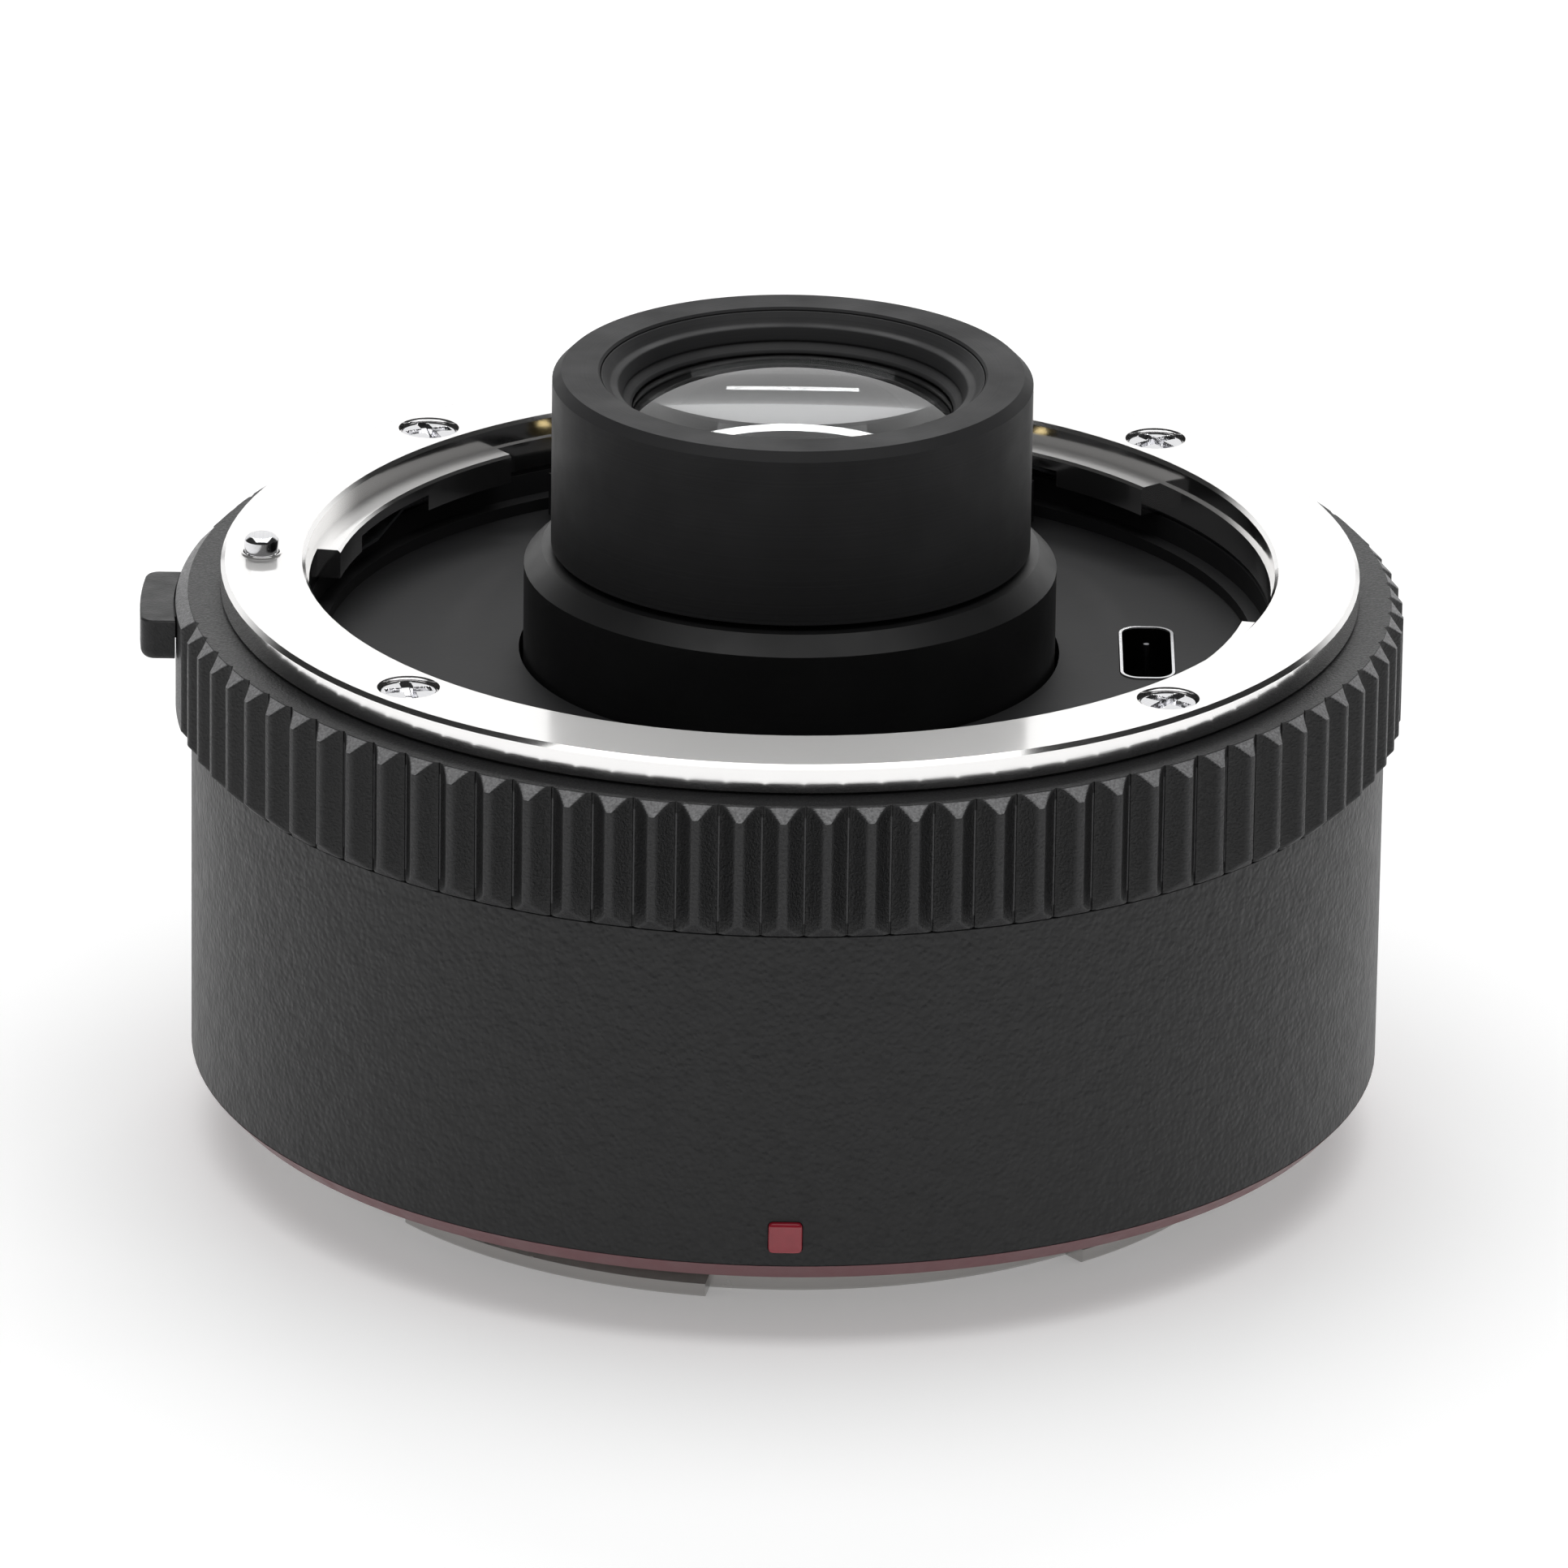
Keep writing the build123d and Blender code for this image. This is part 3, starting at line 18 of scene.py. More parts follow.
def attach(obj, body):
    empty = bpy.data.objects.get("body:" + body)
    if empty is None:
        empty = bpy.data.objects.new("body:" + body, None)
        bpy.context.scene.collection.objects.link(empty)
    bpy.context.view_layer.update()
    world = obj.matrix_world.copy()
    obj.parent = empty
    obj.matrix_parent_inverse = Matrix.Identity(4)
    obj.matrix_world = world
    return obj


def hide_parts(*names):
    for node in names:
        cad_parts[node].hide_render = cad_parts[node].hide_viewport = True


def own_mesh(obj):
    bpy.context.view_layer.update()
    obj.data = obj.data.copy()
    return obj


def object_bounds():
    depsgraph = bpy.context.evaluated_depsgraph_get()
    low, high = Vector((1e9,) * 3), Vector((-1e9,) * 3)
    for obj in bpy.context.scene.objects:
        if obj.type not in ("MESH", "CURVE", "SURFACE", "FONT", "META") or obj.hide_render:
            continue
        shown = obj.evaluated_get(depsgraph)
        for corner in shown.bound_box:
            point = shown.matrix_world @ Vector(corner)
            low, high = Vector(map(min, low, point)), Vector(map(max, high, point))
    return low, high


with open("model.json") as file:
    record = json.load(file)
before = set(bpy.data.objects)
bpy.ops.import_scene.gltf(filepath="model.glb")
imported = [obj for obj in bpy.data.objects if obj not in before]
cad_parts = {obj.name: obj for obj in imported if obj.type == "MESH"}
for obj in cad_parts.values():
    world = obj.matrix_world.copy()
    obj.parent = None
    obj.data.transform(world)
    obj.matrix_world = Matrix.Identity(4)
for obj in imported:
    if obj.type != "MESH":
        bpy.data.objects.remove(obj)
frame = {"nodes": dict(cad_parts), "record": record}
cad_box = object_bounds()
nodes = frame["nodes"]
MM = 0.001
print(len(nodes), "nodes, box", [round(v * 1000, 1) for corner in cad_box for v in corner])

# %% [markdown]
# ## The camera
# The photograph was taken from far away with a long lens, so its ellipses hardly narrow towards
# the back. The place, the tilt and the focal length come from fitting a pinhole camera to those
# ellipses. A camera looks along its own -Z, so its three axes are the columns of its turn.

# %% Camera
camera_place = Vector((0.0, -827.347, 338.495)) * MM
camera_pitch, camera_yaw, camera_roll = 0.3710922, -0.0002068, 0.0146143      # radians
ahead = Vector((math.sin(camera_yaw) * math.cos(camera_pitch),
                math.cos(camera_yaw) * math.cos(camera_pitch), -math.sin(camera_pitch)))
level_right = Vector((math.cos(camera_yaw), -math.sin(camera_yaw), 0.0))
level_up = level_right.cross(ahead)
right = level_right * math.cos(camera_roll) + level_up * math.sin(camera_roll)
up = level_up * math.cos(camera_roll) - level_right * math.sin(camera_roll)
turn = Matrix((right, up, -ahead)).transposed().to_4x4()
camera_data = bpy.data.cameras.new("photo_camera")
camera_data.sensor_width = 36.0
camera_data.lens = 357.3
camera_data.clip_start = 0.05
camera = bpy.data.objects.new("photo_camera", camera_data)
camera.matrix_world = Matrix.Translation(camera_place) @ turn
bpy.context.scene.collection.objects.link(camera)
bpy.context.scene.camera = camera
bpy.context.scene.view_settings.view_transform = "Standard"
print("camera", round(camera_place.length, 3), "m away, lens", camera_data.lens, "mm")

# %% [markdown]
# ## Helpers for materials
# Colours are written as they look on a screen, in sRGB hex, and a shader wants linear light, so
# one function turns the one into the other. Another adds a node: what it is given is either set
# on a socket or, when it is another node's output, linked to it. The rest are shorthand.


# %% Colour and node helpers
def linear(hex_colour):
    """Each channel over 255; up to 0.04045 it is divided by 12.92, and above that 0.055 is
    added, the sum divided by 1.055 and raised to the power 2.4."""
    share = np.array([int(hex_colour[k:k + 2], 16) for k in (1, 3, 5)]) / 255.0
    light = np.where(share <= 0.04045, share / 12.92, ((share + 0.055) / 1.055) ** 2.4)
    return (*light.tolist(), 1.0)


def add(tree, kind, inputs=None, **settings):
    """Adds a node, sets its settings, and sets or links its inputs."""
    node = tree.nodes.new("ShaderNode" + kind)
    for key, value in settings.items():
        setattr(node, key, value)
    for key, value in (inputs or {}).items():
        if isinstance(value, bpy.types.NodeSocket):
            tree.links.new(value, node.inputs[key])
        else:
            node.inputs[key].default_value = value
    return node


def blank(name):
    """A new material with an empty node tree."""
    material = bpy.data.materials.new(name)
    material.use_nodes = True
    material.node_tree.nodes.clear()
    return material, material.node_tree


def per_mm(size):
    """The scale that makes one period of a texture as long as a real size in millimetres."""
    return 1000.0 / size


def blend_colours(tree, share, first, second):
    """The first colour where the share is 0, the second where it is 1, and a blend between."""
    return add(tree, "Mix", {"Factor": share, 6: first, 7: second}, data_type="RGBA").outputs[2]


print("black paint in linear light", [round(v, 4) for v in linear("#1c1c1d")[:3]])

# %% [markdown]
# ## World, floor and lamps
# Small metal goods are photographed in a dark room, in front of white paper and under a large
# soft box. The camera sees white paper everywhere. A mirror sees it only behind the goods, where
# the world's direction is near +Y, and the dark room elsewhere: that is what draws dark stripes
# on polished pins, screws and bevels. Plain light from the whole sphere fills the shadows.

# %% World
world = bpy.data.worlds.new("paper_and_dark_room")
world.use_nodes = True
bpy.context.scene.world = world
tree = world.node_tree
tree.nodes.clear()
FILL_LIGHT, ROOM_LIGHT = 0.36, 0.03       # from all sides, and what a mirror sees of the room
PAPER_FROM, PAPER_FULL = 0.55, 0.80       # Y of the direction where the paper begins, and is full
path = add(tree, "LightPath")
direction = add(tree, "TexCoord").outputs["Generated"]
axes = add(tree, "SeparateXYZ", {"Vector": direction})
behind = add(tree, "MapRange", {
    "Value": axes.outputs["Y"], "From Min": PAPER_FROM, "From Max": PAPER_FULL,
    "To Min": ROOM_LIGHT, "To Max": 1.0}, interpolation_type="SMOOTHSTEP")
mirrored = add(tree, "Math", {0: path.outputs["Is Glossy Ray"],
                              1: path.outputs["Is Transmission Ray"]}, operation="MAXIMUM")
indirect = add(tree, "Mix", {"Factor": mirrored.outputs[0], "A": FILL_LIGHT,
                             "B": behind.outputs[0]})
strength = add(tree, "Mix", {"Factor": path.outputs["Is Camera Ray"],
                             "A": indirect.outputs[0], "B": 1.0})
sky = add(tree, "Background", {"Color": linear("#ffffff"), "Strength": strength.outputs[0]})
add(tree, "OutputWorld", {"Surface": sky.outputs[0]})
print("fill light", FILL_LIGHT, "room", ROOM_LIGHT)

# %% Floor
FLOOR_Z = cad_box[0][2]
FLOOR_HALF, FLOOR_GLOW = 3.0, 0.22        # metres, and the light that the paper adds by itself
floor_mesh = bpy.data.meshes.new("floor")
floor_mesh.from_pydata([(x * FLOOR_HALF, y * FLOOR_HALF, FLOOR_Z)
                        for x, y in ((-1, -1), (1, -1), (1, 1), (-1, 1))], [], [(0, 1, 2, 3)])
floor = bpy.data.objects.new("floor", floor_mesh)
bpy.context.scene.collection.objects.link(floor)
material, tree = blank("white_sweep_paper")
paper = add(tree, "BsdfDiffuse", {"Color": linear("#f2f2f2")})
glow = add(tree, "Emission", {"Color": linear("#ffffff"), "Strength": FLOOR_GLOW})
both = add(tree, "AddShader", {0: paper.outputs[0], 1: glow.outputs[0]})
add(tree, "OutputMaterial", {"Surface": both.outputs[0]})
floor_mesh.materials.append(material)
print("floor at", round(FLOOR_Z * 1000, 2), "mm")

# %% [markdown]
# The main lamp is a wide soft box overhead. A narrow bright strip behind it gives the glints on
# glass and screws. Two boxes at the sides only fill, so mirrors don't see them. Their watts
# follow from the level that a white card should reach: a lamp of P watts at d metres lights a
# card that faces it to P over the square of pi times d, counted as a share of white.


# %% Lamps
LAMP_AIM = Vector((0.0, 0.0, 0.015))      # metres: the middle of the object


def soft_lamp(name, place, wide, deep, level, mirrored=True):
    """A lamp that looks at the object. Its power is the level times pi squared times the
    squared distance, so a white card that faces it shows that level."""
    data = bpy.data.lights.new(name, "AREA")
    data.shape = "RECTANGLE"
    data.size, data.size_y = wide, deep
    place = Vector(place)
    aim = LAMP_AIM - place
    data.energy = level * math.pi ** 2 * aim.length_squared
    lamp = bpy.data.objects.new(name, data)
    turn = aim.to_track_quat("-Z", "Y").to_matrix().to_4x4()
    lamp.matrix_world = Matrix.Translation(place) @ turn
    lamp.visible_glossy = lamp.visible_transmission = mirrored
    bpy.context.scene.collection.objects.link(lamp)


soft_lamp("overhead_box", (0.0, 0.04, 0.62), 0.74, 0.66, 0.74)
soft_lamp("rear_strip", (0.0, 0.478, 0.495), 0.40, 0.036, 0.16)
soft_lamp("left_box", (-0.60, -0.12, 0.26), 0.40, 0.40, 0.07, mirrored=False)
soft_lamp("right_box", (0.60, -0.06, 0.22), 0.40, 0.40, 0.06, mirrored=False)
print("four soft lamps")

# %% [markdown]
# ## Finishes with a grain
# Most surfaces of a lens accessory are a plain colour with a grain: wrinkle paint, moulded
# plastic, blasted or anodised metal. One function makes them all from real sizes: the grain's
# width and depth in millimetres, and how far colour and roughness swing with it.


# %% Grained finish
def two_tones(colour, swing):
    """The colour in linear light times one minus the swing, and times one plus the swing."""
    return [tuple(c * k for c in linear(colour)[:3]) + (1.0,) for k in (1 - swing, 1 + swing)]


def grained(name, colour, rough, metal=0.0, grain=0.3, depth=0.01, swing=0.15, rough_swing=0.08,
            level=0.5, coat=0.0):
    """Two noises on Object coordinates, one as wide as the grain and one nine times as wide.
    The narrow one lifts the surface by the grain's depth, the wide one swings the roughness,
    and their sum swings the colour."""
    material, tree = blank(name)
    place = add(tree, "TexCoord").outputs["Object"]
    fine = add(tree, "TexNoise", {"Vector": place, "Scale": per_mm(grain), "Detail": 3.0,
                                  "Roughness": 0.55})
    broad = add(tree, "TexNoise", {"Vector": place, "Scale": per_mm(grain * 9), "Detail": 2.0})
    both = add(tree, "Math", {0: fine.outputs["Fac"], 1: broad.outputs["Fac"]}, operation="ADD")
    dark, light = two_tones(colour, swing)
    share = add(tree, "MapRange", {"Value": both.outputs[0], "From Min": 0.7, "From Max": 1.3})
    tint = blend_colours(tree, share.outputs[0], dark, light)
    gloss = add(tree, "MapRange", {
        "Value": broad.outputs["Fac"], "From Min": 0.3, "From Max": 0.7,
        "To Min": rough - rough_swing, "To Max": rough + rough_swing})
    lift = add(tree, "Bump", {"Height": fine.outputs["Fac"], "Distance": depth * MM,
                              "Strength": 1.0})
    shader = add(tree, "BsdfPrincipled", {
        "Base Color": tint, "Roughness": gloss.outputs[0], "Metallic": metal,
        "Specular IOR Level": level, "Coat Weight": coat, "Coat Roughness": 0.08,
        "Normal": lift.outputs[0]})
    add(tree, "OutputMaterial", {"Surface": shader.outputs[0]})
    return material


finishes = {
    "accent_red": grained("dark_red_anodised", "#6a4145", 0.38, metal=0.2, grain=0.15,
                          depth=0.002, swing=0.06),
    "bead_red": grained("glossy_red_plastic", "#8a1c2a", 0.14, grain=0.9, depth=0.004,
                        swing=0.10, rough_swing=0.03, coat=0.5),
    "throat_black": grained("matt_black_moulding", "#222223", 0.55, grain=0.25, depth=0.006,
                            swing=0.05, rough_swing=0.01, level=0.22),
    "block_black": grained("glass_filled_black_plastic", "#1d1d1e", 0.5, grain=0.18, depth=0.006),
    "board_green": grained("green_solder_mask", "#155234", 0.28, grain=1.6, swing=0.2),
    "chip_black": grained("moulded_chip_resin", "#17171a", 0.42, grain=0.12, depth=0.006),
    "flex_amber": grained("polyimide_film", "#a8641c", 0.25, grain=2.2, swing=0.12, coat=0.3),
    "lever_paint": grained("fine_textured_black_plastic", "#1e1e1f", 0.48, grain=0.16, depth=0.03,
                           level=0.35),
    "contact_gold": grained("pale_hard_gold", "#cdb987", 0.24, metal=1.0, grain=0.2, depth=0.0008,
                            swing=0.05),
    "dark_screw": grained("blackened_steel", "#3b3b3d", 0.32, metal=1.0, grain=0.2, depth=0.002),
    "spring_steel": grained("dull_spring_steel", "#7c7d80", 0.3, metal=1.0, grain=0.25,
                            depth=0.002),
}
print(len(finishes), "grained finishes")

# %% [markdown]
# ## Paint of the grip ring
# The ring is cast rough and painted. Its grooves are coloured darker than the lands as painted
# shade, and their narrow roots lighter as a painted highlight. How far a place lies under the land
# tells them
# apart: the ring's radius less its bevel there, less the distance from the axis. The flat top is
# coloured darker as painted shade where it meets the flange. The ends of the troughs slope
# upwards, and a painted highlight there stands for their rough cast sparkling in the light from
# above.

# %% Grip paint
GRIP_R, GRIP_BEVEL, GROOVE_DEPTH = 34.85, 0.72, 0.90      # mm
GRIP_LOW, GRIP_HIGH = 20.85, 28.45                        # mm: heights of the two rims
GRIP_MIDDLE, GRIP_HALF = (GRIP_LOW + GRIP_HIGH) / 2, (GRIP_HIGH - GRIP_LOW) / 2
GROOVE_SHADE_FROM, GROOVE_SHADE_FULL = 0.05, 0.22           # mm under the land: where the grooves' painted shade begins, and where it is full
ROOT_HIGHLIGHT_FROM, ROOT_HIGHLIGHT_FULL = 0.05, 0.01       # mm above a groove's root: where its painted highlight begins
TOP_FROM, TOP_FULL = 0.05, 0.02         # mm under the upper rim: where the flat top's painted shade begins
CAST_GRAIN, CAST_DEPTH = 0.15, 0.055    # mm
material, tree = blank("cast_black_grip_paint")
place = add(tree, "TexCoord").outputs["Object"]
flat = add(tree, "VectorMath", {0: place, 1: (1.0, 1.0, 0.0)}, operation="MULTIPLY")
radius = add(tree, "VectorMath", {0: flat.outputs[0]}, operation="LENGTH").outputs["Value"]
high = add(tree, "SeparateXYZ", {"Vector": place}).outputs["Z"]
from_middle = add(tree, "Math", {0: high, 1: GRIP_MIDDLE * MM}, operation="SUBTRACT")
from_middle = add(tree, "Math", {0: from_middle.outputs[0]}, operation="ABSOLUTE")
bevel = add(tree, "MapRange", {
    "Value": from_middle.outputs[0], "From Min": (GRIP_HALF - GRIP_BEVEL) * MM,
    "From Max": GRIP_HALF * MM, "To Min": GRIP_R * MM, "To Max": (GRIP_R - GRIP_BEVEL) * MM})
under = add(tree, "Math", {0: bevel.outputs[0], 1: radius}, operation="SUBTRACT").outputs[0]
# painted shade: the grooves are coloured darker than the lands
groove_shade_share = add(tree, "MapRange", {"Value": under, "From Min": GROOVE_SHADE_FROM * MM, "From Max": GROOVE_SHADE_FULL * MM})
# painted highlight: a lighter line along each groove's root
root_highlight_share = add(tree, "MapRange", {"Value": under, "From Min": (GROOVE_DEPTH - ROOT_HIGHLIGHT_FROM) * MM,
                                 "From Max": (GROOVE_DEPTH - ROOT_HIGHLIGHT_FULL) * MM})
# painted shade: the flat top is coloured darker where it meets the flange
on_top = add(tree, "MapRange", {"Value": high, "From Min": (GRIP_HIGH - TOP_FROM) * MM,
                                "From Max": (GRIP_HIGH - TOP_FULL) * MM})
rising = add(tree, "NewGeometry").outputs["True Normal"]
rising = add(tree, "SeparateXYZ", {"Vector": rising}).outputs["Z"]
# painted highlight: faces that tilt upwards get a lighter, speckled colour
upward_glint_share = add(tree, "MapRange", {"Value": rising, "From Min": 0.5, "From Max": 0.68})
spared = add(tree, "Math", {0: 1.0, 1: on_top.outputs[0]}, operation="SUBTRACT")
upward_glint_share = add(tree, "Math", {0: upward_glint_share.outputs[0], 1: spared.outputs[0]}, operation="MULTIPLY")
cast = add(tree, "TexNoise", {"Vector": place, "Scale": per_mm(CAST_GRAIN), "Detail": 3.0,
                              "Roughness": 0.6}).outputs["Fac"]
land = blend_colours(tree, cast, linear("#1b1b1c"), linear("#2b2b2c"))
# groove colour: dark as painted shade, light at the root as a painted highlight
groove = blend_colours(tree, root_highlight_share.outputs[0], linear("#0c0c0d"), linear("#444445"))
tint = blend_colours(tree, groove_shade_share.outputs[0], land, groove)
# the flat top's painted shade
tint = blend_colours(tree, on_top.outputs[0], tint, linear("#171718"))
# colour of the painted highlight on upward faces
upward_glint_colour = blend_colours(tree, cast, linear("#181819"), linear("#9c9c9d"))
tint = blend_colours(tree, upward_glint_share.outputs[0], tint, upward_glint_colour)
gloss = add(tree, "MapRange", {"Value": cast, "From Min": 0.3, "From Max": 0.7,
                               "To Min": 0.56, "To Max": 0.34})
lift = add(tree, "Bump", {"Height": cast, "Distance": CAST_DEPTH * MM, "Strength": 1.0})
shader = add(tree, "BsdfPrincipled", {"Base Color": tint, "Roughness": gloss.outputs[0],
                                      "Specular IOR Level": 0.42, "Normal": lift.outputs[0]})
add(tree, "OutputMaterial", {"Surface": shader.outputs[0]})
finishes["grip_paint"] = material
print("grooves", GROOVE_DEPTH, "mm deep")

# %% [markdown]
# ## Wrinkle paint
# The casing has a leathery wrinkle coat: soft cells about a third of a millimetre wide, with
# narrow valleys, on a slower swell. Cells come from a smooth Voronoi pattern, whose distance
# to the nearest cell point rises towards the valleys, so it is turned over before it lifts
# the surface. The same distance colours the valleys darker, as painted shade.

# %% Wrinkle paint
WRINKLE_WIDTH, WRINKLE_DEPTH, SWELL_WIDTH = 0.34, 0.060, 1.1      # mm
material, tree = blank("wrinkle_black_paint")
place = add(tree, "TexCoord").outputs["Object"]
warp = add(tree, "TexNoise", {"Vector": place, "Scale": per_mm(WRINKLE_WIDTH * 2), "Detail": 2.0})
bend = add(tree, "VectorMath", {0: warp.outputs["Color"], "Scale": WRINKLE_WIDTH * MM * 0.9},
           operation="SCALE")
bent = add(tree, "VectorMath", {0: place, 1: bend.outputs[0]}, operation="ADD")
cells = add(tree, "TexVoronoi", {"Vector": bent.outputs[0], "Scale": per_mm(WRINKLE_WIDTH),
                                 "Smoothness": 0.6}, feature="SMOOTH_F1").outputs["Distance"]
swell = add(tree, "TexNoise", {"Vector": place, "Scale": per_mm(SWELL_WIDTH),
                               "Detail": 3.0}).outputs["Fac"]
height = add(tree, "Math", {0: cells, 1: -0.8, 2: swell}, operation="MULTIPLY_ADD")
lift = add(tree, "Bump", {"Height": height.outputs[0], "Distance": WRINKLE_DEPTH * MM,
                          "Strength": 1.0})
# painted shade: darker towards the wrinkles' valleys
tint = blend_colours(tree, cells, linear("#1c1c1d"), linear("#131314"))
gloss = add(tree, "MapRange", {"Value": swell, "To Min": 0.38, "To Max": 0.56})
shader = add(tree, "BsdfPrincipled", {"Base Color": tint, "Roughness": gloss.outputs[0],
                                      "Specular IOR Level": 0.4, "Normal": lift.outputs[0]})
add(tree, "OutputMaterial", {"Surface": shader.outputs[0]})
finishes["body_paint"] = material
print("wrinkles", WRINKLE_WIDTH, "mm wide")

# %% [markdown]
# ## Turned metal
# A lathe leaves fine rings round the axis. On flat faces they follow the radius, on drums the
# height, so a noise along one line, read at radius plus height, draws them on both. Light
# smears across such rings, so the shader is anisotropic. Its tangent lies in the surface at a
# right angle to the rings: outwards on a flat face, upright on a drum.


# %% Turned finish
SMEAR_WIDTH = 4.0                         # mm: how slowly the gloss changes
SAND_GRAIN, SAND_SHARE = 0.12, 0.5        # mm, and how high the grain is beside the rings
GROUND_FROM, GROUND_FULL = 0.8, 0.98      # Z of the normal where a ground face begins, and is full


def turned_metal(name, colour, rough, metal, pitch, depth, spread, swing=0.08, level=0.5,
                 ground=0.0):
    """Rings: noise of one dimension at (distance from the axis plus height) over the pitch, with
    a fine grain on top. The tangent is the surface normal crossed with the direction (-y, x, 0).
    Faces that look up can also be ground: a share of their light is then mirrored dully."""
    material, tree = blank(name)
    place = add(tree, "TexCoord").outputs["Object"]
    flat = add(tree, "VectorMath", {0: place, 1: (1.0, 1.0, 0.0)}, operation="MULTIPLY")
    radius = add(tree, "VectorMath", {0: flat.outputs[0]}, operation="LENGTH")
    sides = add(tree, "SeparateXYZ", {"Vector": place})
    along = add(tree, "Math", {0: radius.outputs["Value"], 1: sides.outputs["Z"]},
                operation="ADD")
    rings = add(tree, "TexNoise", {"W": along.outputs[0], "Scale": per_mm(pitch), "Detail": 2.0},
                noise_dimensions="1D").outputs["Fac"]
    smear = add(tree, "TexNoise", {"Vector": place, "Scale": per_mm(SMEAR_WIDTH), "Detail": 3.0})
    tint = blend_colours(tree, rings, *two_tones(colour, swing))
    gloss = add(tree, "MapRange", {
        "Value": smear.outputs["Fac"], "From Min": 0.3, "From Max": 0.7,
        "To Min": rough * 0.85, "To Max": rough * 1.15})
    sand = add(tree, "TexNoise", {"Vector": place, "Scale": per_mm(SAND_GRAIN), "Detail": 2.0})
    both = add(tree, "Math", {0: sand.outputs["Fac"], 1: SAND_SHARE, 2: rings},
               operation="MULTIPLY_ADD")
    lift = add(tree, "Bump", {"Height": both.outputs[0], "Distance": depth * MM, "Strength": 1.0})
    minus = add(tree, "Math", {0: sides.outputs["Y"], 1: -1.0}, operation="MULTIPLY")
    around = add(tree, "CombineXYZ", {"X": minus.outputs[0], "Y": sides.outputs["X"], "Z": 0.0})
    normal = add(tree, "NewGeometry").outputs["Normal"]
    across = add(tree, "VectorMath", {0: normal, 1: around.outputs[0]}, operation="CROSS_PRODUCT")
    across = add(tree, "VectorMath", {0: across.outputs[0]}, operation="NORMALIZE")
    shader = add(tree, "BsdfPrincipled", {
        "Base Color": tint, "Roughness": gloss.outputs[0], "Metallic": metal,
        "Specular IOR Level": level, "Anisotropic": spread, "Tangent": across.outputs[0],
        "Normal": lift.outputs[0]})
    surface = shader.outputs[0]
    if ground:
        dull = add(tree, "BsdfPrincipled", {"Base Color": tint, "Roughness": 0.55,
                                            "Metallic": metal, "Normal": lift.outputs[0]})
        facing = add(tree, "SeparateXYZ", {"Vector": normal})
        share = add(tree, "MapRange", {"Value": facing.outputs["Z"], "From Min": GROUND_FROM,
                                       "From Max": GROUND_FULL, "To Max": ground})
        surface = add(tree, "MixShader", {0: share.outputs[0], 1: surface,
                                          2: dull.outputs[0]}).outputs[0]
    add(tree, "OutputMaterial", {"Surface": surface})
    return material


finishes |= {
    "bright_mount": turned_metal("turned_nickel_on_brass", "#f4f3f2", 0.11, 1.0, 0.08, 0.0006,
                                 0.6, swing=0.03, ground=0.4),
    # painted shade: the back mount's metal is coloured darker than the front one's
    "brushed_shaded_mount": turned_metal("brushed_nickel_painted_shade", "#bdbbb9", 0.24, 1.0, 0.10, 0.001,
                                  0.6, swing=0.05),
    "barrel_black": turned_metal("black_anodised_turned", "#222223", 0.55, 0.0, 0.12, 0.004,
                                 0.2, swing=0.2, level=0.22),
    "ring_black": turned_metal("matt_black_anodised", "#242425", 0.55, 0.0, 0.15, 0.004,
                               0.2, swing=0.2, level=0.3),
    "tube_black": turned_metal("satin_black_anodised", "#111112", 0.42, 0.0, 0.2, 0.003,
                               0.3, swing=0.2, level=0.4),
    "screw_steel": turned_metal("bright_nickel_steel", "#e2e2e4", 0.10, 1.0, 0.1, 0.0003, 0.0),
}
print(len(finishes), "finishes with the turned ones")

# %% [markdown]
# ## Rim of the slot
# The slot's cup is painted near-black inside, as shade in the recess, and only its rim, which
# stands a hair above the plate, is bright metal. The height tells which is which.

# %% Slot finish
SLOT_EDGE, SLOT_FADE = 24.86, 0.02        # mm: below the edge the cup is painted black as shade
material, tree = blank("painted_shade_cup_bright_rim")
place = add(tree, "TexCoord").outputs["Object"]
high = add(tree, "SeparateXYZ", {"Vector": place}).outputs["Z"]
rim = add(tree, "MapRange", {"Value": high, "From Min": (SLOT_EDGE - SLOT_FADE) * MM,
                             "From Max": (SLOT_EDGE + SLOT_FADE) * MM})
worn = add(tree, "TexNoise", {"Vector": place, "Scale": per_mm(0.5), "Detail": 2.0})
# painted shade: near-black below the rim, bright metal above
tint = blend_colours(tree, rim.outputs[0], linear("#070707"), linear("#e6e6e8"))
gloss = add(tree, "MapRange", {"Value": worn.outputs["Fac"], "To Min": 0.10, "To Max": 0.26})
shader = add(tree, "BsdfPrincipled", {"Base Color": tint, "Roughness": gloss.outputs[0],
                                      "Metallic": rim.outputs[0], "Specular IOR Level": 0.3})
add(tree, "OutputMaterial", {"Surface": shader.outputs[0]})
finishes["slot_metal"] = material
print("slot rim above", SLOT_EDGE, "mm")

# %% [markdown]
# ## Coated glass
# Lens glass is clear, with a refractive index from 1.5 up. The coatings and the many surfaces
# behind one another swallow light that is thrown back from deep inside; a neutral grey in the
# glass stands for that, uneven by a trace as a coating is. The edges of the elements are ground.

